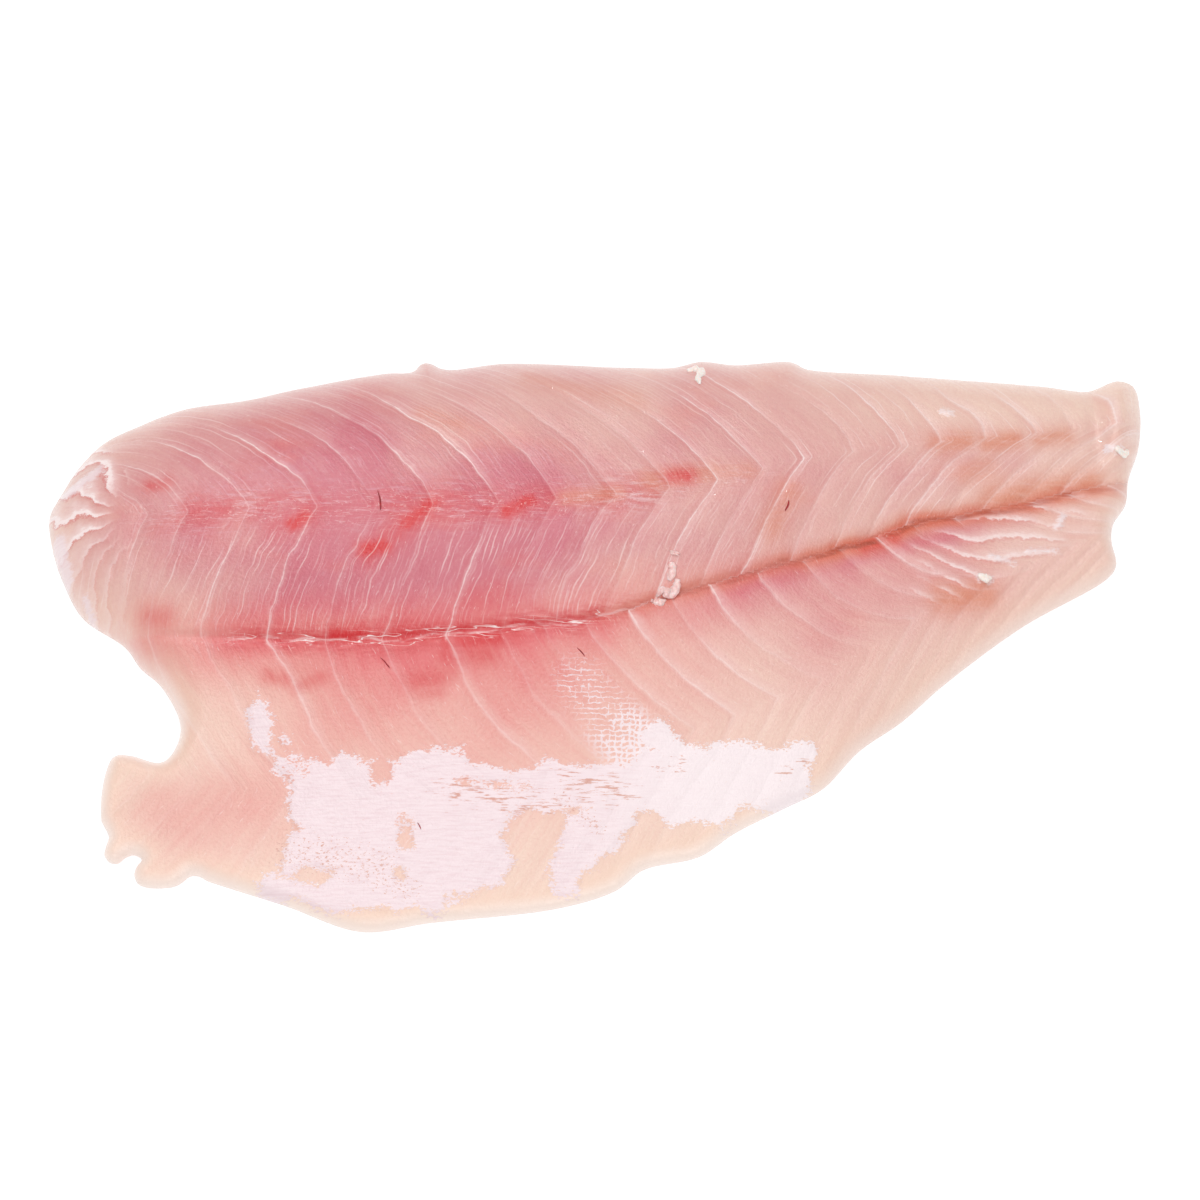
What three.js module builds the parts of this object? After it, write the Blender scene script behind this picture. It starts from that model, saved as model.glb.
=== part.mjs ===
// A raw skinless fish fillet of one piece, lying on its skinned side with the flesh side up.
// Millimetres: +X runs from the nape end to the tail, +Y from the belly to the back edge, +Z is up.
// The fillet lies on z = 0, and its origin is the middle of its bounding box there.
//
// Across the fillet a share v counts the guide lines: 0 belly edge, 1 pin-bone valley, 2 loin ridge,
// 3 back edge. Along it a number t counts the flakes. Lines of equal t are the chevrons of the flesh.

import * as THREE from "three";

// Outline in plan, as four edges run clockwise from the nape
const BACK_EDGE = [
  [-157.5, 23.5], [-155, 29.5], [-149.5, 39.5], [-143, 46.5], [-132.5, 52], [-119.5, 57], [-102.5, 59.5],
  [-88, 63], [-62, 68], [-54.5, 68.5], [-52, 71.2], [-48.5, 71], [-44.5, 69.2], [-27.5, 71.2], [6, 70],
  [21, 70], [29, 72], [39, 71], [56, 72], [60, 69.8], [87, 68], [127.5, 65], [141, 63.5], [150, 66.5],
];
const TAIL_EDGE = [
  [155, 65], [156.5, 57], [155.5, 46], [152, 36], [150.8, 28.5], [147, 22.5], [146.2, 17], [147.2, 10],
];
const BELLY_EDGE = [
  [144.5, 6], [119.5, -8.8], [96.8, -26], [84.5, -37], [72.5, -45.5], [62, -56.5], [51.5, -62],
  [37.5, -69.2], [27.5, -76], [12, -79.8], [4.5, -85.6], [-11, -90.6], [-46.5, -94.8], [-65.5, -97.3],
  [-86.5, -90], [-108, -83], [-112, -81.3],
];
const FLAP_EDGE = [
  [-117, -84.5], [-127, -84], [-128.5, -80], [-126.5, -77], [-129.5, -75.5], [-134, -78.3], [-137, -75.5],
  [-136, -70], [-138.2, -66], [-138, -53], [-135.5, -47.2], [-131, -47], [-122, -49], [-118, -43.5],
  [-117.8, -37], [-123.5, -26.5], [-129.6, -21], [-134, -15], [-146.5, -6.2], [-152.7, 4.5], [-156.3, 14.5],
];

// Guide lines in plan, as [x, y]
const BACK_GUIDE = [
  [-160, 30], [-143, 46], [-119, 56], [-88, 62.5], [-50, 68.5], [0, 70], [60, 70], [110, 66], [160, 63],
];
const RIDGE_GUIDE = [
  [-150, 16], [-98, 17.5], [-40, 18], [4, 21.5], [32, 26.5], [58, 34.5], [87, 40], [125, 46], [160, 51],
];
const VALLEY_GUIDE = [
  [-150, -14], [-70, -18], [-28, -15], [0, -11], [28, -2], [57, 7], [85, 17], [114, 24.5], [155, 34.5],
];
const BELLY_GUIDE = [
  [-160, -70], [-128, -84], [-65, -97], [-28, -92], [10, -80], [62, -56], [95, -25], [119, -8], [165, 18],
];

// Thickness along the guide lines, as [x, z], before the rim is rounded off
const RIDGE_HEIGHT = [
  [-158, 14], [-140, 21], [-115, 26], [-60, 29], [-10, 28], [40, 24.5], [90, 18], [125, 13.5], [156, 9],
];
const VALLEY_HEIGHT = [
  [-158, 9], [-126, 14], [-85, 17], [-30, 18.5], [30, 17], [85, 13], [125, 10], [156, 7.5],
];
const MID_BELLY_HEIGHT = [
  [-140, 6.5], [-100, 8.5], [-40, 10.5], [30, 11], [80, 11], [120, 8.5], [150, 7],
];
const BELLY_EDGE_HEIGHT = 4.5;
const BACK_EDGE_SHARE = 0.55; // of the ridge's thickness

// Flakes: where the chevrons between them cross the ridge, and how far each leans from there by the time it
// meets the back edge and the valley, as [x, lean]. Past the valley it skips on towards the nape, then leans
// out to the belly's own apex line and returns. A bow of 0 makes a straight lean.
const APEXES = [
  -140, -126, -114.5, -97.5, -78.5, -61.5, -44.5, -27, -11, 4, 18, 32, 46, 58.5, 72.5, 86, 98, 110.5, 124,
  136, 148,
];
const LEAN_BACK = [[-140, -54], [30, -54], [65, -38], [100, -22], [125, -19], [150, -4]];
const LEAN_BACK_BOW = 0.55;
const LEAN_VALLEY = [[-140, -11], [-60, -15], [0, -16.5], [60, -18.5], [130, -26]];
const LEAN_VALLEY_BOW = -0.35;
const LEAN_BELLY = { nape: 27, tail: 33, apex: 0.45, returns: 24, skips: 9, skips_from: -30, skips_by: 50 };
const LEAN_BELLY_BOW = 0.4;
const HALF_SPAN = 130; // from the middle of the flakes to either end

// Grooves between flakes: their depths, where the deeper ones of the cut ends begin, and their profile
const GROOVE = { middle: 0.45, belly: 0.3, nape: 1.2, tail: 0.55 };
const NAPE_FLAKES = { from: -120, full: -145 };
const TAIL_FLAKES = { from: 90, full: 120 };
const LOIN_FLAKES = { from: 0.8, full: 1.1 }; // shares v over which the belly's depth becomes the loin's
const GROOVE_SHARPNESS = 0.5;

// The pin-bone crease along the valley
const CREASE = { depth: 0.8, half_width: 1.3, from_x: -140, full_x: -110 };
const TAIL_CREASE = { depth: 0.45, from_x: 20, full_x: 70 };

// Frayed leaves of flesh: a fan about a point at the nape end, with each leaf's angle in radians, and layers
// on the belly side of the tail, which bend up to the valley. Both count from the back edge to the belly, and
// each leaf rises slowly to its edge and drops there.
const NAPE_FAN = { x: -126, y: 18, leaf: 0.3, rise: 1.1, from: 9, full: 18, reach: 42 };
const FAN_WAVE = { leaves: 0.3, length: 4, turn: 3 };
const FAN_SPREAD = { middle: -0.15, full: 0.95, none: 1.3 };
const TAIL_LEAVES = { pitch: 4.6, rise: 0.7, bend: 7, bend_length: 10 };
const TAIL_WAVE = { leaves: 0.25, length: 6.5, width: 9 };
const TAIL_LEAVES_X = { from: 86, full: 102, fades: 124, ends: 140 };
const TAIL_LEAVES_V = { from: 0.35, full: 0.6, fades: 0.9, ends: 0.98 };
const LEAF_EDGE = 0.8; // share of a leaf at which its edge stands

// The curled lip at the tail's back corner: a roll along the cut end with a crease before it
const LIP = { x: 149.5, half_width: 4.5, rise: 3.2, from_y: 34, full_y: 46 };
const LIP_CREASE = { x: 142, half_width: 2.5, depth: 0.9 };

// Rim and mesh steps
const RIM_SHARE = 0.75; // rounding radius over the thickness there
const LEAST_RIM = 3;
const EDGE_LIFT = 1.2; // the outline's height above the table, over a small undercut
const UNDERCUT = 0.8;
const OUTLINE_STEP = 2.6;
const ARC_DIVISIONS = 4000;
const RIM_RINGS = [0.9, 2.6];
const RING_CLEARANCE = 0.7; // as a share of the clearance a point would have elsewhere
const INNER_CLEARANCE = 3.9;
const POINT_CLEARANCE = 1.7;
const LINE_STEP = 3.8; // along a chevron
const LINES_IN_FLAKE = [0, 0.12, 0.35, 0.65, 0.88]; // the groove, then its shoulders and the crown
const LEAF_STEP = 2.2; // along a leaf
const LEAF_CLEARANCE = 0.8;
const LINES_IN_LEAF = [0, 0.4, LEAF_EDGE];
const LEAN_ROUNDS = 25; // to find the ridge point of a chevron through a given place
const LEAF_ROUNDS = 8; // to find the place of a leaf's line
const FAR_AWAY = 1e4;

const { clamp, lerp, smoothstep } = THREE.MathUtils;
const gauss = (x) => Math.exp(-x * x);

// A smooth function of x through the keys [x, value], straight beyond both ends
function through(keys) {
  const last = keys.length - 1;
  const slopes = keys.map((_, i) => {
    const [a, b] = [keys[Math.max(0, i - 1)], keys[Math.min(last, i + 1)]];
    return (b[1] - a[1]) / (b[0] - a[0]);
  });
  return (x) => {
    if (x <= keys[0][0]) return keys[0][1] + slopes[0] * (x - keys[0][0]);
    if (x >= keys[last][0]) return keys[last][1] + slopes[last] * (x - keys[last][0]);
    const i = keys.findIndex((k) => k[0] > x) - 1;
    const [[x0, y0], [x1, y1]] = [keys[i], keys[i + 1]];
    const span = x1 - x0;
    const s = (x - x0) / span;
    const rise = s * s * (3 - 2 * s);
    const out = s * (1 - s) * (1 - s);
    const back = s * s * (1 - s);
    return y0 + (y1 - y0) * rise + span * (slopes[i] * out - slopes[i + 1] * back);
  };
}

const guides = [BELLY_GUIDE, VALLEY_GUIDE, RIDGE_GUIDE, BACK_GUIDE].map(through);
const ridgeHeight = through(RIDGE_HEIGHT);
const valleyHeight = through(VALLEY_HEIGHT);
const midBellyHeight = through(MID_BELLY_HEIGHT);
const leanBack = through(LEAN_BACK);
const leanValley = through(LEAN_VALLEY);

// The share v at a point, and the y of a share v at an x
function shareAt(x, y) {
  const [belly, valley, ridge, back] = guides.map((g) => g(x));
  if (y > ridge) return 2 + (y - ridge) / (back - ridge);
  if (y > valley) return 1 + (y - valley) / (ridge - valley);
  return (y - belly) / (valley - belly);
}

function yOfShare(x, v) {
  const band = clamp(Math.floor(v), 0, 2);
  return lerp(guides[band](x), guides[band + 1](x), v - band);
}

const bowed = (share, bow) => share * (1 - bow + bow * share);

// How far the chevron whose ridge point is at x lies from that x, at the share v
function leanAt(x, v) {
  if (v >= 2) return leanBack(x) * bowed(v - 2, LEAN_BACK_BOW);
  if (v >= 1) return leanValley(x) * bowed(2 - v, LEAN_VALLEY_BOW);
  const skips = LEAN_BELLY.skips * smoothstep(x, LEAN_BELLY.skips_from, LEAN_BELLY.skips_by);
  const toBelly = leanValley(x) - skips;
  const out = lerp(LEAN_BELLY.nape, LEAN_BELLY.tail, smoothstep(x, -HALF_SPAN, HALF_SPAN));
  if (v >= LEAN_BELLY.apex) return toBelly + out * bowed((1 - v) / (1 - LEAN_BELLY.apex), LEAN_BELLY_BOW);
  return toBelly + out - LEAN_BELLY.returns * (1 - v / LEAN_BELLY.apex);
}

// Flake number at a place on the ridge, and back
const flakeAtRidge = through(APEXES.map((x, i) => [x, i]));
const ridgeOfFlake = through(APEXES.map((x, i) => [i, x]));

function flakeAt(x, v) {
  let ridge = x;
  for (let i = 0; i < LEAN_ROUNDS; i++) ridge = x - leanAt(ridge, v);
  return flakeAtRidge(ridge);
}

// A place in the fan, and the waves, counted in leaves, that the lines of the fan and of the layers run in
const fanAngle = (x, y) => Math.atan2(y - NAPE_FAN.y, NAPE_FAN.x - x);
const fanRadius = (x, y) => Math.hypot(y - NAPE_FAN.y, NAPE_FAN.x - x);
const fanWave = (radius, angle) =>
  FAN_WAVE.leaves * Math.sin(radius / FAN_WAVE.length + FAN_WAVE.turn * angle);
const layerWave = (x, y) => TAIL_WAVE.leaves * Math.sin(x / TAIL_WAVE.length + y / TAIL_WAVE.width);
const layerBend = (x) => TAIL_LEAVES.bend * Math.exp((TAIL_LEAVES_X.from - x) / TAIL_LEAVES.bend_length);

function inFanZone(x, y) {
  const off = Math.abs(fanAngle(x, y) - FAN_SPREAD.middle);
  const spread = 1 - smoothstep(off, FAN_SPREAD.full, FAN_SPREAD.none);
  return spread * smoothstep(fanRadius(x, y), NAPE_FAN.from, NAPE_FAN.full);
}

function inLayerZone(x, v) {
  const along = smoothstep(x, TAIL_LEAVES_X.from, TAIL_LEAVES_X.full);
  const across = smoothstep(v, TAIL_LEAVES_V.from, TAIL_LEAVES_V.full);
  const last = 1 - smoothstep(x, TAIL_LEAVES_X.fades, TAIL_LEAVES_X.ends);
  return along * last * across * (1 - smoothstep(v, TAIL_LEAVES_V.fades, TAIL_LEAVES_V.ends));
}

// Closed outline, evenly sampled
const outlineCurve = new THREE.CatmullRomCurve3(
  [...BACK_EDGE, ...TAIL_EDGE, ...BELLY_EDGE, ...FLAP_EDGE].map(([x, y]) => new THREE.Vector3(x, y, 0)),
  true,
  "centripetal",
);
outlineCurve.arcLengthDivisions = ARC_DIVISIONS;
const outline = outlineCurve
  .getSpacedPoints(Math.round(outlineCurve.getLength() / OUTLINE_STEP))
  .slice(0, -1)
  .map((p) => new THREE.Vector2(p.x, p.y));

function edgeDistance(x, y) {
  let least = Infinity;
  outline.forEach((a, i) => {
    const b = outline[(i + 1) % outline.length];
    const [dx, dy] = [b.x - a.x, b.y - a.y];
    const s = clamp(((x - a.x) * dx + (y - a.y) * dy) / (dx * dx + dy * dy), 0, 1);
    least = Math.min(least, Math.hypot(x - a.x - s * dx, y - a.y - s * dy));
  });
  return least;
}

function isInside(polygon, x, y) {
  let inside = false;
  polygon.forEach((a, i) => {
    const b = polygon[(i + 1) % polygon.length];
    const crosses = a.y > y !== b.y > y;
    if (crosses && x < a.x + ((y - a.y) * (b.x - a.x)) / (b.y - a.y)) inside = !inside;
  });
  return inside;
}

// Outline points moved inwards by a distance
function inset(distance) {
  return outline.map((p, i) => {
    const before = outline[(i + outline.length - 1) % outline.length];
    const after = outline[(i + 1) % outline.length];
    const along = after.clone().sub(before).normalize();
    return new THREE.Vector2(p.x + along.y * distance, p.y - along.x * distance);
  });
}

// Thickness of the flesh away from the rim: a full loin over a crease, and a thinning belly
function sectionHeight(x, v) {
  const ridge = ridgeHeight(x);
  const valley = valleyHeight(x);
  if (v >= 2) return ridge * (1 - (1 - BACK_EDGE_SHARE) * (v - 2) * (v - 2));
  if (v >= 1) return valley + (ridge - valley) * Math.sin(((v - 1) * Math.PI) / 2);
  const middle = midBellyHeight(x);
  const edge = BELLY_EDGE_HEIGHT;
  const bend = 2 * (valley + edge - 2 * middle);
  return edge + (valley - edge - bend) * v + bend * v * v;
}

function flakeRelief(x, v) {
  const nape = smoothstep(-x, -NAPE_FLAKES.from, -NAPE_FLAKES.full);
  const tail = smoothstep(x, TAIL_FLAKES.from, TAIL_FLAKES.full);
  const middle = lerp(GROOVE.belly, GROOVE.middle, smoothstep(v, LOIN_FLAKES.from, LOIN_FLAKES.full));
  const depth = middle + (GROOVE.nape - middle) * nape + (GROOVE.tail - middle) * tail;
  const t = flakeAt(x, v);
  const inFlake = t - Math.floor(t);
  return -depth * (1 - Math.sin(inFlake * Math.PI) ** GROOVE_SHARPNESS);
}

function lipRelief(x, y) {
  const there = smoothstep(y, LIP.from_y, LIP.full_y);
  const roll = LIP.rise * gauss((x - LIP.x) / LIP.half_width);
  const crease = LIP_CREASE.depth * gauss((x - LIP_CREASE.x) / LIP_CREASE.half_width);
  return there * (roll - crease);
}

function creaseRelief(x, y) {
  const there = smoothstep(x, CREASE.from_x, CREASE.full_x);
  const towardsTail = smoothstep(x, TAIL_CREASE.from_x, TAIL_CREASE.full_x);
  const depth = there * lerp(CREASE.depth, TAIL_CREASE.depth, towardsTail);
  return -depth * gauss((y - guides[1](x)) / CREASE.half_width);
}

// Height of a leaf about its middle, for a leaf number
function leafProfile(number) {
  const inLeaf = number - Math.floor(number);
  return Math.min(inLeaf / LEAF_EDGE, (1 - inLeaf) / (1 - LEAF_EDGE)) - 0.5;
}

function fanRelief(x, y) {
  const [radius, angle] = [fanRadius(x, y), fanAngle(x, y)];
  return NAPE_FAN.rise * leafProfile(fanWave(radius, angle) - angle / NAPE_FAN.leaf);
}

function layerRelief(x, y) {
  return TAIL_LEAVES.rise * leafProfile((layerBend(x) - y) / TAIL_LEAVES.pitch + layerWave(x, y));
}

function topHeight(x, y) {
  const v = clamp(shareAt(x, y), 0, 3);
  const fan = inFanZone(x, y);
  const layers = inLayerZone(x, v);
  const leaves = fan * fanRelief(x, y) + layers * layerRelief(x, y);
  const flakes = flakeRelief(x, v) * (1 - fan - layers);
  const full = sectionHeight(x, v) + flakes + leaves + lipRelief(x, y) + creaseRelief(x, y);
  const radius = Math.max(LEAST_RIM, RIM_SHARE * full);
  const inwards = 1 - Math.min(1, edgeDistance(x, y) / radius);
  return EDGE_LIFT + (full - EDGE_LIFT) * Math.sqrt(1 - inwards * inwards);
}

// Plan points of the top: the outline, two rings inside it, then points along the leaves and the chevrons.
// A point is left out where it would crowd the outline or the points before it.
function planPoints() {
  const points = [...outline];
  const cells = new Map();
  const cellOf = (x, y) => [x, y].map((c) => Math.floor(c / POINT_CLEARANCE)).join();
  const neighbours = (p) => {
    const steps = [-POINT_CLEARANCE, 0, POINT_CLEARANCE];
    return steps.flatMap((i) => steps.flatMap((j) => cells.get(cellOf(p.x + i, p.y + j)) ?? []));
  };
  const add = (p, fromOutline, fromOthers) => {
    if (!isInside(outline, p.x, p.y) || edgeDistance(p.x, p.y) < fromOutline) return;
    if (neighbours(p).some((q) => p.distanceTo(q) < fromOthers)) return;
    points.push(p);
    const cell = cellOf(p.x, p.y);
    cells.set(cell, [...(cells.get(cell) ?? []), p]);
  };
  for (const ring of RIM_RINGS) {
    for (const p of inset(ring)) add(p, RING_CLEARANCE * ring, RING_CLEARANCE * POINT_CLEARANCE);
  }
  for (const p of [...fanPoints(), ...layerPoints()]) add(p, INNER_CLEARANCE, LEAF_CLEARANCE);
  const firstFlake = Math.round(flakeAtRidge(-2 * HALF_SPAN));
  const lastFlake = Math.round(flakeAtRidge(2 * HALF_SPAN));
  for (let flake = firstFlake; flake <= lastFlake; flake++) {
    for (const inFlake of LINES_IN_FLAKE) {
      for (const p of chevron(flake + inFlake)) add(p, INNER_CLEARANCE, POINT_CLEARANCE);
    }
  }
  return points;
}

// Points along the chevron of flake number t, from the belly to the back, evenly in each of the three bands
function chevron(t) {
  const ridge = ridgeOfFlake(t);
  const points = [];
  for (let band = 0; band < 3; band++) {
    const width = guides[band + 1](ridge) - guides[band](ridge);
    const steps = Math.max(2, Math.round(width / LINE_STEP));
    for (let i = 0; i < steps; i++) {
      const v = band + i / steps;
      const x = ridge + leanAt(ridge, v);
      points.push(new THREE.Vector2(x, yOfShare(x, v)));
    }
  }
  return points;
}

// Leaf numbers of the lines between a first and a last number
function leafLines(first, last) {
  const whole = Array.from({ length: Math.ceil(last - first) + 1 }, (_, i) => Math.floor(first) + i);
  return whole.flatMap((n) => LINES_IN_LEAF.map((share) => n + share)).filter((n) => n >= first && n <= last);
}

// Points along the lines of the fan's leaves
function fanPoints() {
  const [least, most] = [1, -1].map((side) => -(FAN_SPREAD.middle + side * FAN_SPREAD.none) / NAPE_FAN.leaf);
  const points = [];
  for (const number of leafLines(least, most)) {
    for (let radius = NAPE_FAN.from; radius < NAPE_FAN.reach; radius += LEAF_STEP) {
      let angle = -number * NAPE_FAN.leaf;
      for (let i = 0; i < LEAF_ROUNDS; i++) angle = (fanWave(radius, angle) - number) * NAPE_FAN.leaf;
      const [left, up] = [radius * Math.cos(angle), radius * Math.sin(angle)];
      const p = new THREE.Vector2(NAPE_FAN.x - left, NAPE_FAN.y + up);
      if (inFanZone(p.x, p.y) > 0) points.push(p);
    }
  }
  return points;
}

// Points along the lines of the tail's layers
function layerPoints() {
  const points = [];
  const numberAt = (x, v) => (layerBend(x) - yOfShare(x, v)) / TAIL_LEAVES.pitch;
  for (let x = TAIL_LEAVES_X.from; x < TAIL_LEAVES_X.ends; x += LEAF_STEP) {
    const lines = leafLines(numberAt(x, TAIL_LEAVES_V.ends) - 1, numberAt(x, TAIL_LEAVES_V.from) + 1);
    for (const number of lines) {
      let y = guides[1](x);
      for (let i = 0; i < LEAF_ROUNDS; i++) y = (layerWave(x, y) - number) * TAIL_LEAVES.pitch + layerBend(x);
      if (inLayerZone(x, shareAt(x, y)) > 0) points.push(new THREE.Vector2(x, y));
    }
  }
  return points;
}

// Delaunay triangulation of plan points, one point at a time, kept where it lies inside the polygon.
// Triangles run counter-clockwise.
function triangulate(points, polygon) {
  const corners = [[-FAR_AWAY, -FAR_AWAY], [FAR_AWAY, -FAR_AWAY], [0, FAR_AWAY]];
  const all = [...points, ...corners.map(([x, y]) => new THREE.Vector2(x, y))];
  const withCircle = (a, b, c) => {
    const toB = all[b].clone().sub(all[a]);
    const toC = all[c].clone().sub(all[a]);
    const twice = 2 * toB.cross(toC);
    const x = (toC.y * toB.lengthSq() - toB.y * toC.lengthSq()) / twice;
    const y = (toB.x * toC.lengthSq() - toC.x * toB.lengthSq()) / twice;
    return { corners: [a, b, c], x: all[a].x + x, y: all[a].y + y, r2: x * x + y * y };
  };
  let triangles = [withCircle(points.length, points.length + 1, points.length + 2)];
  points.forEach((p, index) => {
    const rim = new Map();
    const reaches = (t) => (p.x - t.x) ** 2 + (p.y - t.y) ** 2 < t.r2;
    for (const t of triangles.filter(reaches)) {
      t.corners.forEach((a, i) => {
        const b = t.corners[(i + 1) % 3];
        if (!rim.delete([b, a].join())) rim.set([a, b].join(), [a, b]);
      });
    }
    triangles = triangles.filter((t) => !reaches(t));
    for (const [a, b] of rim.values()) triangles.push(withCircle(a, b, index));
  });
  return triangles
    .map((t) => t.corners)
    .filter((t) => t.every((i) => i < points.length))
    .filter((t) => {
      const middle = t.reduce((sum, i) => sum.add(points[i]), new THREE.Vector2()).divideScalar(3);
      return isInside(polygon, middle.x, middle.y);
    });
}

// The closed skin: the flesh side, the undercut below its rim, and the flat skinned side
function filletGeometry() {
  const plan = planPoints();
  const foot = inset(UNDERCUT);
  const rim = outline.length;
  const heights = plan.map((p, i) => (i < rim ? EDGE_LIFT : topHeight(p.x, p.y)));
  const positions = plan.flatMap((p, i) => [p.x, p.y, heights[i]]);
  positions.push(...foot.flatMap((p) => [p.x, p.y, 0]));

  const faces = triangulate(plan, outline).flat();
  for (let i = 0; i < rim; i++) {
    const next = (i + 1) % rim;
    const low = plan.length + i;
    const lowNext = plan.length + next;
    faces.push(i, next, low, next, lowNext, low);
  }
  for (const [a, b, c] of triangulate(foot, foot)) faces.push(...[a, c, b].map((i) => plan.length + i));

  const geometry = new THREE.BufferGeometry();
  geometry.setAttribute("position", new THREE.Float32BufferAttribute(positions, 3));
  geometry.setIndex(faces);
  geometry.computeBoundingBox();
  const centre = geometry.boundingBox.getCenter(new THREE.Vector3());
  geometry.translate(-centre.x, -centre.y, 0);
  geometry.computeVertexNormals();
  return geometry;
}

const flesh = new THREE.MeshStandardMaterial({ color: 0xe3aca6, roughness: 0.45, metalness: 0 });
const fillet = new THREE.Mesh(filletGeometry(), flesh);
fillet.name = "fillet";

const part = new THREE.Group();
part.add(fillet);

export default part;
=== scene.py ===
"""Looks of a raw skinless fish fillet: moist flesh with its flakes, blood and belly film.

Plan places are millimetres, as in the solid: +X to the tail, +Y to the back edge. Across the fillet
a share v counts the guide lines: 0 belly edge, 1 pin-bone valley, 2 loin ridge, 3 back edge. Along it
a number counts the flakes, and the white septa of the flesh run where that number is whole.
"""

import bpy
import numpy as np
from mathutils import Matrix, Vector, geometry, kdtree, noise


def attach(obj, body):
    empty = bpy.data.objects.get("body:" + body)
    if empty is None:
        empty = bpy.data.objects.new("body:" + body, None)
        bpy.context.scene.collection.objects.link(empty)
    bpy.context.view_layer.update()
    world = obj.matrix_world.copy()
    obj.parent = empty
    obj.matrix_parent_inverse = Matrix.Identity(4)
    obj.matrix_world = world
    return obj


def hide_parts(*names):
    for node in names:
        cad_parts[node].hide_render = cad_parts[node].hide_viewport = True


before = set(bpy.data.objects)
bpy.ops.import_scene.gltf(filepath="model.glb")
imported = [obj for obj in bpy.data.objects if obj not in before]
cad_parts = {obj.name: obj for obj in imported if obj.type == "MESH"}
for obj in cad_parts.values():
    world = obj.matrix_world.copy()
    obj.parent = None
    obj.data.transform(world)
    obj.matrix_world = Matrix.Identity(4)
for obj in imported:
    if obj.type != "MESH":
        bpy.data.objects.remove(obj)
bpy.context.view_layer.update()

NODE = "fillet"
MM = 0.001
PLAN_CENTRE = np.array((-0.5, -12.6))  # of the solid's box in plan, which is the frame's origin

# Guide lines of the solid in plan, as [x, y]
BACK_GUIDE = [
    [-160, 30], [-143, 46], [-119, 56], [-88, 62.5], [-50, 68.5], [0, 70], [60, 70], [110, 66], [160, 63],
]
RIDGE_GUIDE = [
    [-150, 16], [-98, 17.5], [-40, 18], [4, 21.5], [32, 26.5], [58, 34.5], [87, 40], [125, 46], [160, 51],
]
VALLEY_GUIDE = [
    [-150, -14], [-70, -18], [-28, -15], [0, -11], [28, -2], [57, 7], [85, 17], [114, 24.5], [155, 34.5],
]
BELLY_GUIDE = [
    [-160, -70], [-128, -84], [-65, -97], [-28, -92], [10, -80], [62, -56], [95, -25], [119, -8], [165, 18],
]

# Thickness of the solid along the guide lines, as [x, z]
RIDGE_HEIGHT = [
    [-158, 14], [-140, 21], [-115, 26], [-60, 29], [-10, 28], [40, 24.5], [90, 18], [125, 13.5], [156, 9],
]
VALLEY_HEIGHT = [
    [-158, 9], [-126, 14], [-85, 17], [-30, 18.5], [30, 17], [85, 13], [125, 10], [156, 7.5],
]
MID_BELLY_HEIGHT = [
    [-140, 6.5], [-100, 8.5], [-40, 10.5], [30, 11], [80, 11], [120, 8.5], [150, 7],
]
BELLY_EDGE_HEIGHT = 4.5
BACK_EDGE_SHARE = 0.55
RIM_SHARE = 0.75
LEAST_RIM = 3
EDGE_LIFT = 1.2
LIP = {"x": 149.5, "half_width": 4.5, "rise": 3.2, "from_y": 34, "full_y": 46}
LIP_CREASE = {"x": 142, "half_width": 2.5, "depth": 0.9}

# Septa: their places along the ridge, and how far each leans from there
APEXES = [
    -140, -126, -114.5, -97.5, -78.5, -61.5, -44.5, -27, -11, 4, 18, 32, 46, 58.5, 72.5, 86, 98, 110.5,
    124, 136, 148,
]
BRIGHT_APEXES = [-97.5, -78.5, -44.5, -27, 32, 58.5]
HALF_SPAN = 130
LEAN_BACK = [[-140, -54], [30, -54], [65, -38], [100, -22], [125, -19], [150, -4]]
LEAN_BACK_BOW = 0.55
LEAN_VALLEY = [[-140, -11], [-60, -15], [0, -16.5], [60, -18.5], [130, -26]]
LEAN_VALLEY_BOW = -0.35
LEAN_BELLY = {
    "nape": 27, "tail": 33, "apex": 0.45, "returns": 24, "skips": 9, "skips_from": -30, "skips_by": 50,
}
LEAN_BELLY_BOW = 0.4
LEAN_ROUNDS = 25
SEED_STEP = 7.3  # distance between the layers of noise that seeds pick
SLOPE_STEP = 0.05  # step in millimetres over which the flake number's slope is taken
LEAST_SLOPE = 1e-3

# How far the flake number strays, as noise of [height, length], and how much more at the tail
WAVER = [[0.2, 34], [0.07, 11], [0.035, 4]]
TAIL_WAVER = [[0.1, 11]]
TAIL_WAVER_ALONG = (70, 110)

# Mesh of the flesh
PITCH = 0.74
UNDERSIDE_PITCH = 3.0
UNDERSIDE_CLEARANCE = 1.8
RING_PARTS = 3
EDGE_PARTS = 4
RIM_RINGS = (0.3, 0.75, 1.35)
RING_CLEARANCE = 0.9  # share of its inset that a ring's point keeps from the outline
GRID_CLEARANCE = 1.75
UNDER_RINGS = ((0.2, 0.55), (0.5, 0.15), (0.8, 0.0))  # inset and height of the rings below the outline
WELD = 0.01  # points of the solid that are this close are one
FILL_INSIDE = 1  # the kind of fill that keeps what is inside the ring
FILL_TOLERANCE = 1e-4
BAKE = {"margin": 0.005, "top_size": 0.99, "under_size": 0.8, "under_from": 0.552}  # shares of the map

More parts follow.
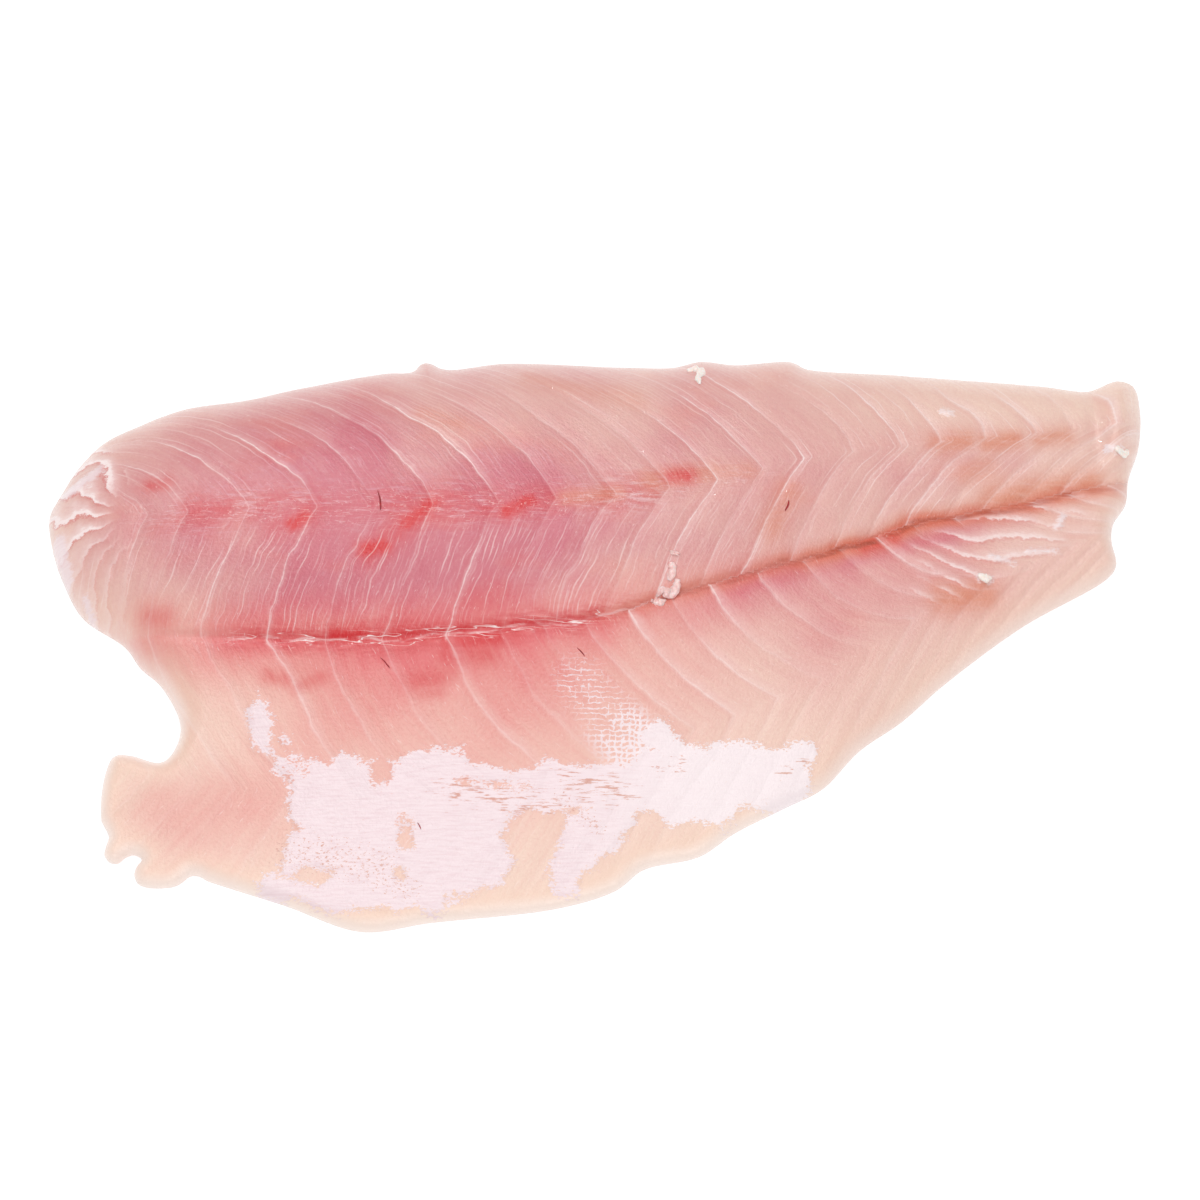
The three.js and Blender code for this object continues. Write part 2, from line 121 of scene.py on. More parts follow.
# Relief of the flesh, in millimetres
GROOVE = {"middle": 0.45, "belly": 0.3, "nape": 1.2, "tail": 0.55}
CREASE = {"depth": 0.8, "half_width": 1.3, "from_x": -140, "full_x": -110}
TAIL_CREASE = {"depth": 0.45, "from_x": 20, "full_x": 70}
FILM_RISE = 0.3
FILM_SLOPE = (-0.6, 0.8)  # millimetres inside the film between which it rises
TAG_RISE = 0.7
TAG_SLOPE = (-0.6, 1.2)
SWELLS = [[0.35, 26], [0.1, 6]]
NAPE_FAN = {"x": -126, "y": 18, "leaf": 0.3, "rise": 1.1, "from": 9, "full": 18}
FAN_WAVE = {"leaves": 0.3, "length": 4, "turn": 3}
FAN_SPREAD = {"middle": -0.15, "full": 0.95, "none": 1.3}
FAN_STRAY = [[0.7, 10], [0.25, 3]]
FAN_WHITE = (0.4, 1.7)
FAN_WHITE_TURN = (-0.7, -0.1)  # angles about the fan's root between which its white grows
TAIL_LEAVES = {
    "from": 86, "full": 102, "fades": 124, "gone": 140, "pitch": 4.6, "rise": 0.7,
    "bend": 7, "bend_length": 10,
}
TAIL_LEAVES_ACROSS = (0.35, 0.6, 0.9, 0.98)
TAIL_WAVE = {"leaves": 0.25, "length": 6.5, "width": 9}
TAIL_STRAY = [[0.5, 24], [0.15, 5]]
TAIL_START_STRAY = [[8, 5]]
TAIL_END_STRAY = [[14, 6]]
LEAF_EDGE = 0.8  # share of a leaf at which its edge stands

# How strongly the septa show across the fillet, as [v, strength]
SEPTUM_ACROSS = [
    [0, 0.1], [0.3, 0.15], [0.45, 0.2], [0.6, 0.5], [0.9, 0.6], [1.05, 0.55], [1.5, 0.6], [1.85, 0.55],
    [2.05, 0.55], [2.3, 0.75], [2.6, 0.8], [2.85, 0.4], [3, 0.2],
]

# Strength of the single septa: how it is drawn, and how it varies along each of them
SEPTA = {
    "seed": 4, "draws": (0.35, 0.85), "bright": 1.15, "spare": 20, "leaves": 0.75,
    "per_flake": 3.7, "per_share": 2.3, "least": 0.25, "span": 0.35,
}

# Zones of the flesh: strength, where they start and are full along it in millimetres, and across it by
# the share v. Two more numbers are where a zone fades and is gone, and an empty place is everywhere
ZONES = {
    "nape_flakes": (1, (-120, -145), ()),
    "tail_flakes": (1, (90, 120), ()),
    "loin_flakes": (1, (), (0.8, 1.1)),
    "septa_tail": (0.8, (60, 110), ()),
    "septa_tail_end": (0.4, (124, 138), (1.6, 2.1)),
    "septa_belly": (0.8, (-20, 30), (0.4, 0.5, 0.95, 1.02)),
    "broad_belly": (1, (), (1.05, 0.9)),
    "broad_tail": (0.9, (75, 105), ()),
    "hairs_band": (1, (-135, -95, 20, 70), (1.02, 1.1, 1.65, 1.95)),
    "hairs_loin": (0.45, (-135, -95, 20, 70), (2.1, 2.3)),
    "splits": (1, (), (1.05, 1.2)),
    "bloody": (1, (-112, -85, -5, 25), ()),
    "valley_drop": (1, (20, 60), ()),
    "past_nape": (1, (-110, -70), ()),
    "to_tail": (1, (35, 85), ()),
    "past_belly": (1, (), (0.97, 1.03)),
    "pale_tail": (0.65, (35, 110), (2, 2.4)),
    # painted glow of light through the thin flesh near its edge, and a near-white painted glow at the rim
    "thin": (1, (), (1.0, 0.75)),
    "thin_glow_tail": (0.6, (40, 85), ()),
    "rim_glow_loin": (0.5, (), (0.6, 1.1)),
    "rim_glow_tail": (0.4, (30, 80), ()),
    "coral": (1, (), (1.45, 1.0)),
    "coral_tail": (0.75, (0, 55), ()),
    "streaks_tail": (0.22, (10, 70), ()),
    "streaks_loin": (0.75, (), (0.85, 1.05)),
    "bleached": (0.8, (-15, 30), ()),
}

# Soft stripes along the fillet: strength, where along it, middle and half width by the share v
STRIPES = {
    "septa_knots": (0.5, (-20, 15, 55, 75), 2, 0.07),
    "septa_torn": (0.45, (35, 0), 2.02, 0.16),
    "torn": (1, (-140, -115, 30, 60), 1.97, 0.15),
}

# Patches of noise: length in millimetres, where the noise starts to show and shows fully, seed
PATCHES = {
    "warm": (22, 0.0, 1.1, 32),
    "torn_red": (22, -0.15, 0.35, 35),
    "hairs": (26, -0.6, 0.2, 36),
    "splits": (30, -0.7, 0.1, 40),
}
VALLEY_STRAY = [[1.6, 14], [0.8, 5]]
LATERAL_SHARE = 0.4  # where the underside's band lies, from the valley to the ridge
LATERAL_STRAY = [[1.5, 9]]

# Fine lines between two septa: how many, how often they break along their run, and how strongly they show
HAIRS = {"count": 10, "breaks": 2.8, "strength": 0.46}
SPLITS = {"count": 3, "breaks": 1.8, "strength": 0.4}

# Brown of the lateral line along the fillet, as [x, strength]
BROWN_ALONG = [[-8, 0], [20, 0.38], [52, 0.5], [68, 0.95], [86, 1], [100, 0.8], [130, 0.55], [150, 0.15]]

# How rosy the flesh is along and across the fillet, 0 cream to 1 rose
ROSE_ALONG = [
    [-157, 0.2], [-125, 0.6], [-90, 0.88], [-50, 0.98], [-10, 0.88], [30, 0.63], [70, 0.47],
    [110, 0.32], [156, 0.15],
]
ROSE_ACROSS = [[1, 0.88], [1.5, 1.0], [2, 1], [2.5, 0.95], [3, 0.6]]
BELLY_MORE = [[-125, 1], [-60, 1], [0, 1.05], [60, 1.15], [110, 1.3], [156, 1]]
BELLY_ACROSS_NAPE = [[0, 0.0], [0.5, 0.06], [0.75, 0.26], [0.9, 0.7], [1, 1.1]]
BELLY_ACROSS = [[0, 0.0], [0.25, 0.12], [0.5, 0.38], [0.75, 0.6], [0.9, 0.84], [1, 1.1]]
BELLY_ACROSS_TAIL = [[0, 0.3], [0.25, 0.42], [0.5, 0.58], [0.75, 0.75], [1, 1.1]]
ROSE = {"at_edge": 0.72, "edge_width": 9, "clouds": 0.25, "cloud_length": 24}
WARM = {"most": 0.55, "flat": 2}
# Painted glow of light through the thin flesh: how far from the outline it reaches, and the near-white rim
THIN_GLOW_WIDTH = 10
RIM_GLOW_WIDTH = 4.5
RIM_GLOW_STRENGTH = 0.6
STREAKS = {"nape": 0.34, "belly": 0.25}

# Soft marks as strips: x, y, x, y, half width, strength
ROSE_PATCHES = [
    [-51, 53, 9, 51, 13, -0.3], [-40, 38, -5, 40, 9, -0.2], [-113, -7, -104, -3, 9, -0.22],
    [-68, 4, -48, 6, 10, 0.28], [-75, -4, -20, 0, 11, 0.18], [-18, -4, -2, 2, 9, -0.2],
    [-132, 8, -115, 8, 11, 0.12], [62, -16, 98, 4, 13, 0.2], [40, 0, 120, 22, 4, 0.3],
    [0, -16, 70, 2, 6, 0.12], [-112, -68, -100, -64, 15, 0.35], [-142, -7, -136, -5, 8, -0.14],
    [105, -2, 140, 12, 9, 0.1], [85, 32, 118, 38, 6, 0.2], [-132, -66, -124, -62, 8, 0.12],
    [-26, -36, -14, -30, 8, 0.12], [-146, 24, -134, 20, 8, 0.14],
]
BLOOD_MARKS = [
    [-85.5, 12.5, -82, 14.5, 2.7, 1.0], [-90, 12, -80, 15, 5, 0.35], [-65, 5, -60, 6, 3.0, 1.0],
    [-54, 12, -46.5, 18, 2.6, 1.0], [-64, 4, -47, 17, 4, 0.55], [-26, 16, -19.5, 19, 2.7, 1.0],
    [-30, 18, -14, 20, 4.5, 0.35], [20, 27.3, 25, 27.8, 2.6, 0.75], [-126, 25.5, -122, 26, 2.6, 0.55],
    [-113, 18, -104, 17, 3.6, 0.32], [-100, 16, -30, 18, 5, 0.22], [-74, -17, -66, -16.5, 2.6, 0.9],
    [-60, -17.5, -24, -15.5, 4, 0.62], [-42, -19, -29, -17.5, 3, 0.95], [-42, -22.5, -32, -22, 4, 0.6],
    [-92, -27.5, -87, -28.5, 2.6, 0.48], [-84, -30.5, -77, -28, 2.4, 0.42],
    [-88, -27, -80, -26.5, 4, 0.2], [-51, -29.5, -44, -28.5, 3.2, 0.5],
    [-47, -26.5, -41, -27, 2.2, 0.36], [-49, -33, -44, -32.5, 2, 0.3],
    [-126, -10.5, -121, -11.5, 3.4, 0.36], [-98, -18, -57, -18, 3.6, 0.35], [-34, -9, -28, -6, 5, 0.3],
    [-20, -14, 0, -11.5, 3, 0.28], [75, 10.5, 83, 13.5, 2.6, 0.5],
]
TAN_MARKS = [
    [97, -3, 108, -1, 5, 0.8], [96, 41, 104, 42.5, 3.4, 0.7], [110, 42, 118, 43.5, 3.2, 0.75],
    [125, 44, 133, 45.5, 3, 0.6], [104, 33, 110, 35, 4, 0.4], [112, 26, 140, 32, 4.5, 0.75],
    [-10, 20, 5, 22, 2.5, 0.5], [34, 29, 42, 30, 3, 0.35], [14, 26, 32, 29, 3.4, 0.5],
    [48, 14, 53, 24, 4, 0.5], [-50, 47, -40, 44, 3, 0.35], [-20, 60, 10, 52, 4, 0.3],
]

# White tags of torn flesh as strips: x, y, x, y, half width
TAGS = [
    [-151, 27.5, -142, 32.5, 1.7], [-153, 13, -150.5, 3, 2.2], [-144.5, -4, -143, -9.5, 1.0],
    [145, 42, 149, 41.5, 1.0], [107, 3.5, 110, 3, 0.9], [110, 9.5, 117, 8, 0.5],
    [121, 11.5, 130, 12, 0.4], [130, 19, 131.5, 22, 0.9], [98, 51.5, 100, 51, 0.9],
]

# Belly film: rounded strips as x, y, x, y, half width, holes as x, y, half axes, and slits, pits and
# a net of torn threads as soft marks
FILM_STRIPS = [
    [-74.5, -63, -33, -63, 11.2], [-75.5, -79, -35.5, -75.5, 12], [-89, -86.5, -46.5, -89, 4],
    [-94.5, -36.5, -94, -46, 3], [-93, -47, -82.5, -56, 2.2], [-88, -45, -87.5, -45, 1.2],
    [-72, -55.5, -70.5, -55.5, 5.5], [-50, -53.5, -40, -54.5, 5.5], [-27.5, -59.5, -11, -60, 6],
    [-14, -59, 11, -58.5, 6.8], [-4, -66, -9.5, -83, 4.2], [5, -64, -5, -76, 5.5],
    [14, -56.2, 50, -54.2, 8.6], [50, -50, 57.5, -48, 3], [22, -61.5, 33, -61.5, 6.5],
    [16, -43.5, 20.5, -48, 3.8],
]
FILM_HOLES = [
    [-53.5, -72, 2, 3.5], [-55, -83, 1.5, 2.5], [-78.5, -82.5, 5, 2.5], [-28.5, -57.5, 5, 0.9],
    [-60, -52.5, 2.5, 5], [-20, -71.5, 7, 7],
]
FILM_SLITS = [
    [-42, -59, -24, -62, 5, 1], [-26, -63, -12, -63, 5, 1], [-9, -57, 8, -60, 6, 1],
    [50, -54, 56, -50, 2, 1], [16, -54, 22, -52, 3, 1],
]
FILM_PITS = [[-84, -76, -60, -80, 9, 1], [-60, -84, -52, -86, 6, 1], [-10, -62, 0, -70, 4, 1]]
NET_ZONE = [[-6, -29, 14, -52.5, 9.2, 1]]
NET = {"row": 1.5, "tie": 1.8}  # spacing of its threads along and across the fillet
FILM_FRAY = [[2.2, 1.6, 11, 37], [1.5, 1.4, 4.5, 38]]  # noise at its edge: height, flattening, length, seed

NOISE_SPAN = 0.7  # share of its full span that shader noise keeps about its middle

# Area lights: name, place, size in metres, power in watts
LIGHTS = [
    ("key", (-0.2, 0.25, 2.0), 1.4, 11.8),
    ("fill", (0.35, -1.2, 1.6), 1.2, 8.6),
    ("glint", (-0.45, 1.1, 1.5), 0.12, 4.5),
]
WORLD_STRENGTH = 0.56
FLOOR = {"half_size": 4.0, "drop": 0.0002, "grey": 0.3, "roughness": 0.9, "glow": 0.83}

# Small things on the flesh: clotted threads as x, y, x, y, radius, and shreds of fat and lumps of jelly
# as paths
THREAD = {"points": 12, "bow": 0.06, "wander": 0.12, "turns": 8, "ends": 0.25, "lift": 0.5}
LUMP = {
    "points": 28, "sides": 14, "flat": 0.55, "ends": 0.06, "uneven": 0.6, "turns": 2.5,
    "least_radius": 0.15,
}
SHRED_SIZE = {"radius": 1.1, "lift": 0.25}
JELLY_SIZE = {"radius": 1.35, "lift": 0.05}
THREADS = [
    [-62, 22, -61, 16, 0.18], [-61, -23, -58.3, -26, 0.14], [-6.4, -20.2, -4.2, -22.6, 0.13],
    [53, 22, 51.9, 18.9, 0.2], [-50.2, -68.3, -49.2, -70.2, 0.12],
]
SHREDS = [
    [[25, 64.5], [27.5, 65], [29, 63.5], [28, 61], [28.5, 58.5]],
    [[147, 42], [149.5, 40.8], [151, 42.2]],
    [[106.5, 3.9], [108.5, 3], [110.5, 3.2]],
]
JELLY = [
    [[15.8, -5.2], [17.6, -3.4], [19.4, -4.4], [21.2, -2.6], [21.6, -0.6]],
    [[19.2, -1.2], [20.2, 1.6], [19.8, 3.6]],
    [[14.2, -6.2], [16.6, -6.8], [18.4, -6]],
    [[20.6, 5.4], [20.9, 6.6]],
]

# Camera: elevation in degrees, places in metres, lens and sensor in millimetres
CAMERA = {
    "elevation": 70, "distance": 0.948, "target": (0.0005, 0.0126, 0),
    "lens": 100, "sensor": 36, "clip_start": 0.01,
}


def smoothstep(x, low, high):
    s = np.clip((x - low) / (high - low), 0, 1)
    return s * s * (3 - 2 * s)


def ramp(x, starts, full, fades=None, gone=None):
    """0 to 1 from where a thing starts to where it is full, and back to 0 if it fades."""
    up = smoothstep(x, starts, full)
    return up if fades is None else up * (1 - smoothstep(x, fades, gone))


def zone(x, v, name):
    """Strength of a zone of the looks."""
    strength, along, across = ZONES[name]
    for place, keys in ((x, along), (v, across)):
        if keys:
            strength = strength * ramp(place, *keys)
    return strength


def stripe(x, v, name):
    """Strength of a soft stripe along the fillet."""
    strength, along, middle, half_width = STRIPES[name]
    return strength * ramp(x, *along) * gauss((v - middle) / half_width)


def gauss(x):
    return np.exp(-x * x)


def mixed(a, b, share):
    return a + (b - a) * share


def through(keys):
    """A smooth function of x through the keys [x, value], straight beyond both ends."""
    xs, ys = np.array(keys, float).T
    slopes = np.diff(ys) / np.diff(xs)
    slopes = np.concatenate(([slopes[0]], (ys[2:] - ys[:-2]) / (xs[2:] - xs[:-2]), [slopes[-1]]))

    def value(x):
        i = np.clip(np.searchsorted(xs, x, side="right") - 1, 0, len(xs) - 2)
        span = xs[i + 1] - xs[i]
        s = np.clip((x - xs[i]) / span, 0, 1)
        rise = (ys[i + 1] - ys[i]) * s * s * (3 - 2 * s)
        bend = span * s * (1 - s) * (slopes[i] * (1 - s) - slopes[i + 1] * s)
        beyond = slopes[0] * np.minimum(x - xs[0], 0) + slopes[-1] * np.maximum(x - xs[-1], 0)
        return ys[i] + rise + bend + beyond

    return value


GUIDES = [through(keys) for keys in (BELLY_GUIDE, VALLEY_GUIDE, RIDGE_GUIDE, BACK_GUIDE)]
apex_number = through([[x, i] for i, x in enumerate(APEXES)])


def share_at(x, y):
    belly, valley, ridge, back = (guide(x) for guide in GUIDES)
    loin = 2 + (y - ridge) / (back - ridge)
    band = 1 + (y - valley) / (ridge - valley)
    low = (y - belly) / (valley - belly)
    return np.clip(np.where(y > ridge, loin, np.where(y > valley, band, low)), 0, 3)


def bowed(share, bow):
    return share * (1 - bow + bow * share)


def lean_at(x, v):
    """How far the septum whose ridge point is at x lies from that x, at the share v."""
    to_valley = through(LEAN_VALLEY)(x)
    skipped = smoothstep(x, LEAN_BELLY["skips_from"], LEAN_BELLY["skips_by"])
    to_belly = to_valley - LEAN_BELLY["skips"] * skipped
    out = mixed(LEAN_BELLY["nape"], LEAN_BELLY["tail"], smoothstep(x, -HALF_SPAN, HALF_SPAN))
    apex = LEAN_BELLY["apex"]
    loin = through(LEAN_BACK)(x) * bowed(v - 2, LEAN_BACK_BOW)
    band = to_valley * bowed(2 - v, LEAN_VALLEY_BOW)
    upper = to_belly + out * bowed((1 - v) / (1 - apex), LEAN_BELLY_BOW)
    lower = to_belly + out - LEAN_BELLY["returns"] * (1 - v / apex)
    return np.select([v >= 2, v >= 1, v >= apex], [loin, band, upper], lower)


def flake_at(x, y):
    """The flake number at a place."""
    v = share_at(x, y)
    ridge = x
    for _ in range(LEAN_ROUNDS):
        ridge = x - lean_at(ridge, v)
    return apex_number(ridge)


def wavering(x, y):
    """How far the flake number strays at a place, so the septa run unevenly."""
    at_tail = smoothstep(x, *TAIL_WAVER_ALONG)
    return straying(x, y, WAVER, seed=1) + at_tail * straying(x, y, TAIL_WAVER, seed=2)


def fan_polar(x, y):
    """Angle and radius about the root of the nape fan."""
    left, up = NAPE_FAN["x"] - x, y - NAPE_FAN["y"]
    return np.arctan2(up, left), np.hypot(left, up)


def nape_leaf(x, y):
    """Number of the leaf in the nape fan at a place, and how far the fan shows there."""
    angle, radius = fan_polar(x, y)
    wave = FAN_WAVE["leaves"] * np.sin(radius / FAN_WAVE["length"] + FAN_WAVE["turn"] * angle)
    number = wave - angle / NAPE_FAN["leaf"] + straying(x, y, FAN_STRAY, seed=11)
    off = np.abs(angle - FAN_SPREAD["middle"])
    shows = smoothstep(radius, NAPE_FAN["from"], NAPE_FAN["full"])
    return number, shows * (1 - smoothstep(off, FAN_SPREAD["full"], FAN_SPREAD["none"]))


def tail_leaf(x, y, v):
    """Number of the layer on the belly side of the tail at a place, and how far the layers show."""
    bend = TAIL_LEAVES["bend"] * np.exp(-(x - TAIL_LEAVES["from"]) / TAIL_LEAVES["bend_length"])
    wave = TAIL_WAVE["leaves"] * np.sin(x / TAIL_WAVE["length"] + y / TAIL_WAVE["width"])
    number = (bend - y) / TAIL_LEAVES["pitch"] + wave + straying(x, y, TAIL_STRAY, seed=13)
    ragged_start = x + straying(x, y, TAIL_START_STRAY, seed=15)
    ragged_end = x + straying(x, y, TAIL_END_STRAY, seed=16)
    shows = smoothstep(ragged_start, TAIL_LEAVES["from"], TAIL_LEAVES["full"])
    shows = shows * (1 - smoothstep(ragged_end, TAIL_LEAVES["fades"], TAIL_LEAVES["gone"]))
    return number, shows * ramp(v, *TAIL_LEAVES_ACROSS)


def leaf_at(x, y, v):
    """Number of the frayed leaf of flesh at a place, and how far leaves show there."""
    fan, fan_zone = nape_leaf(x, y)
    layer, layer_zone = tail_leaf(x, y, v)
    return np.where(x < 0, fan, layer), np.where(x < 0, fan_zone, layer_zone)


def leaf_profile(number):
    """Height of a leaf about its middle: it rises slowly to its edge and drops there."""
    in_leaf = number % 1
    return np.minimum(in_leaf / LEAF_EDGE, (1 - in_leaf) / (1 - LEAF_EDGE)) - 0.5


def uneven(a, b, wavelength, seed):
    """Smooth noise from -1 to 1."""
    return np.array([noise.noise((p / wavelength, q / wavelength, SEED_STEP * seed)) for p, q in zip(a, b)])


def cloudy(a, b, wavelength, seed):
    """Smooth noise with finer noise on it, about -1 to 1."""
    finer = 0.5 * uneven(a, b, wavelength / 2, seed + 0.3) + 0.25 * uneven(a, b, wavelength / 4, seed + 0.6)
    return uneven(a, b, wavelength, seed) + finer


def straying(x, y, parts, seed):
    """Sum of smooth noises, each given as its height and its length."""
    return sum(height * uneven(x, y, length, seed + i) for i, (height, length) in enumerate(parts))


def patches(x, y, name):
    """Soft patches of cloudy noise, 0 to 1."""
    length, low, high, seed = PATCHES[name]
    return smoothstep(cloudy(x, y, length, seed), low, high)


def outline_of(node):
    """The solid's outline in plan, counter-clockwise: where its upper faces end."""
    mesh = node.data
    mesh.calc_loop_triangles()
    spots = np.empty((len(mesh.vertices), 3), np.float32)
    mesh.vertices.foreach_get("co", spots.ravel())
    corners = np.empty((len(mesh.loop_triangles), 3), np.int32)
    mesh.loop_triangles.foreach_get("vertices", corners.ravel())
    rounded = np.round(spots / (WELD * MM))
    _, first, same = np.unique(rounded, axis=0, return_index=True, return_inverse=True)
    corners = same.ravel()[corners]
    spots = spots[first].astype(float)
    a, b, c = (spots[corners[:, i]] for i in range(3))
    upward = np.cross(b - a, c - a)[:, 2] > 0
    sides = {(int(t[i]), int(t[(i + 1) % 3])) for t in corners[upward] for i in range(3)}
    following = {a: b for a, b in sides if (b, a) not in sides}
    ring = [min(following)]
    while following[ring[-1]] != ring[0]:
        ring.append(following[ring[-1]])
    return spots[ring, :2] / MM + PLAN_CENTRE


def refined(ring, parts):
    """A closed ring with each side cut into parts along a smooth curve through its points."""
    before, after, beyond = (np.roll(ring, shift, axis=0) for shift in (1, -1, -2))
    pieces = []
    for s in np.arange(parts) / parts:
        square = (2 * before - 5 * ring + 4 * after - beyond) * s * s
        cube = (3 * ring - before - 3 * after + beyond) * s**3
        pieces.append(ring + 0.5 * ((after - before) * s + square + cube))
    return np.stack(pieces, axis=1).reshape(-1, 2)


def inset(ring, distance):
    along = np.roll(ring, -1, axis=0) - np.roll(ring, 1, axis=0)
    along /= np.linalg.norm(along, axis=1, keepdims=True)
    return ring + distance * np.stack((-along[:, 1], along[:, 0]), axis=1)


class Edge:
    """The outline, and how far places lie from it."""

    def __init__(self, ring):
        self.ring = ring
        dense = refined(ring, EDGE_PARTS)
        self.tree = kdtree.KDTree(len(dense))
        for i, (x, y) in enumerate(dense):
            self.tree.insert((x, y, 0), i)
        self.tree.balance()

    def distance(self, x, y):
        return np.array([self.tree.find((a, b, 0))[2] for a, b in zip(x, y)])


def grid_inside(edge, pitch, clearance):
    """Points of a triangular grid inside the outline, clear of it."""
    start, end = edge.ring, np.roll(edge.ring, -1, axis=0)
    row_height = pitch * np.sqrt(0.75)
    found = []
    for row, y in enumerate(np.arange(start[:, 1].min(), start[:, 1].max(), row_height)):
        crossing = (start[:, 1] > y) != (end[:, 1] > y)
        a, b = start[crossing], end[crossing]
        hits = np.sort(a[:, 0] + (y - a[:, 1]) * (b[:, 0] - a[:, 0]) / (b[:, 1] - a[:, 1]))
        shift = pitch * (row % 2) / 2
        for enter, leave in hits.reshape(-1, 2):
            columns = np.arange(np.ceil((enter - shift) / pitch), np.floor((leave - shift) / pitch) + 1)
            found.append(np.stack((columns * pitch + shift, np.full(len(columns), y)), axis=1))
    points = np.concatenate(found)
    return points[edge.distance(*points.T) > clearance]


def filled(ring, inner):
    """Plan points and triangles, counter-clockwise, over a closed ring and the points inside it."""
    sides = [(i, (i + 1) % len(ring)) for i in range(len(ring))]
    points = [Vector(p) for p in np.vstack((ring, inner))]
    made = geometry.delaunay_2d_cdt(points, sides, [], FILL_INSIDE, FILL_TOLERANCE)
    return np.array([p[:] for p in made[0]]), np.array(made[2])


def section_height(x, v):
    ridge, valley, middle = (through(k)(x) for k in (RIDGE_HEIGHT, VALLEY_HEIGHT, MID_BELLY_HEIGHT))
    loin = ridge * (1 - (1 - BACK_EDGE_SHARE) * (v - 2) ** 2)
    band = valley + (ridge - valley) * np.sin((v - 1) * np.pi / 2)
    bend = 2 * (valley + BELLY_EDGE_HEIGHT - 2 * middle)
    belly = BELLY_EDGE_HEIGHT + (valley - BELLY_EDGE_HEIGHT - bend) * v + bend * v * v
    return np.select([v >= 2, v >= 1], [loin, band], belly)


def flake_relief(x, v, flake):
    middle = mixed(GROOVE["belly"], GROOVE["middle"], zone(x, v, "loin_flakes"))
    nape = (GROOVE["nape"] - middle) * zone(x, v, "nape_flakes")
    tail = (GROOVE["tail"] - middle) * zone(x, v, "tail_flakes")
    depth = middle + nape + tail
    return -depth * (1 - np.sin((flake % 1) * np.pi) ** 0.5)


def lip_relief(x, y):
    there = smoothstep(y, LIP["from_y"], LIP["full_y"])
    roll = LIP["rise"] * gauss((x - LIP["x"]) / LIP["half_width"])
    crease = LIP_CREASE["depth"] * gauss((x - LIP_CREASE["x"]) / LIP_CREASE["half_width"])
    return there * (roll - crease)


def crease_relief(x, y):
    there = smoothstep(x, CREASE["from_x"], CREASE["full_x"])
    towards_tail = smoothstep(x, TAIL_CREASE["from_x"], TAIL_CREASE["full_x"])
    depth = there * mixed(CREASE["depth"], TAIL_CREASE["depth"], towards_tail)
    return -depth * gauss((y - GUIDES[1](x)) / CREASE["half_width"])


def strip_distance(x, y, strip):
    """How far places lie from the line from one point to another."""
    x0, y0, x1, y1 = strip[:4]
    dx, dy = x1 - x0, y1 - y0
    s = np.clip(((x - x0) * dx + (y - y0) * dy) / (dx * dx + dy * dy), 0, 1)
    return np.hypot(x - x0 - s * dx, y - y0 - s * dy)


def strips_field(x, y, strips):
    """Millimetres inside the strips, negative outside them."""
    return np.max([strip[4] - strip_distance(x, y, strip) for strip in strips], axis=0)


def film_field(x, y):
    """Millimetres inside the belly film, negative outside it."""
    field = strips_field(x, y, FILM_STRIPS)
    for x0, y0, half_x, half_y in FILM_HOLES:
        outside = (np.hypot((x - x0) / half_x, (y - y0) / half_y) - 1) * min(half_x, half_y)
        field = np.minimum(field, outside)
    return field


def mark_strengths(x, y, marks):
    """Strength of each soft mark: its own along its line, and less away from it."""
    return [mark[5] * gauss(strip_distance(x, y, mark) / mark[4]) for mark in marks]


def marks_field(x, y, marks):
    """Strength of the strongest soft mark at each place."""
    return np.max(mark_strengths(x, y, marks), axis=0)


def septum_strength(x, v, flake, leaves):
    """How strongly the septa show: by zone, from one septum to the next, and along each."""
    spare = SEPTA["spare"]
    draws = np.random.default_rng(SEPTA["seed"]).uniform(*SEPTA["draws"], len(APEXES) + 2 * spare)
    for apex in BRIGHT_APEXES:
        draws[APEXES.index(apex) + spare] = SEPTA["bright"]
    whole = np.round(flake)
    own = draws[np.clip(whole.astype(int) + spare, 0, len(draws) - 1)]
    run = uneven(whole * SEPTA["per_flake"], v * SEPTA["per_share"], 1, seed=21)
    along = mixed(SEPTA["least"], 1, smoothstep(run, -SEPTA["span"], SEPTA["span"]))
    more = 1 + sum(zone(x, v, name) for name in ("septa_tail", "septa_tail_end", "septa_belly"))
    more = more + stripe(x, v, "septa_knots")
    less = (1 - SEPTA["leaves"] * leaves) * (1 - stripe(x, v, "septa_torn"))
    return through(SEPTUM_ACROSS)(v) * own * along * more * less


def rosiness(x, y, v, edge_distance):
    """How rosy the flesh is, 0 cream to 1 rose."""
    along = through(ROSE_ALONG)(x)
    upper = along * through(ROSE_ACROSS)(v) * (1 - zone(x, v, "pale_tail"))
    # less rosy towards the outline, as part of the painted glow at the thin edge
    upper = upper * mixed(ROSE["at_edge"], 1, smoothstep(edge_distance, 0, ROSE["edge_width"]))
    nape, middle, tail = (through(keys)(v) for keys in (BELLY_ACROSS_NAPE, BELLY_ACROSS, BELLY_ACROSS_TAIL))
    across = mixed(mixed(nape, middle, zone(x, v, "past_nape")), tail, zone(x, v, "to_tail"))
    belly = along * through(BELLY_MORE)(x) * across
    rose = mixed(belly, upper, zone(x, v, "past_belly"))
    rose = rose + np.sum(mark_strengths(x, y, ROSE_PATCHES), axis=0)
    return np.clip(rose * (1 + ROSE["clouds"] * cloudy(x, y, ROSE["cloud_length"], seed=31)), 0, 1)


def flake_pitch(x, y):
    """Millimetres from one septum to the next at a place."""
    flake = flake_at(x, y)
    slope_x = (flake_at(x + SLOPE_STEP, y) - flake) / SLOPE_STEP
    slope_y = (flake_at(x, y + SLOPE_STEP) - flake) / SLOPE_STEP
    return 1 / np.maximum(np.hypot(slope_x, slope_y), LEAST_SLOPE)


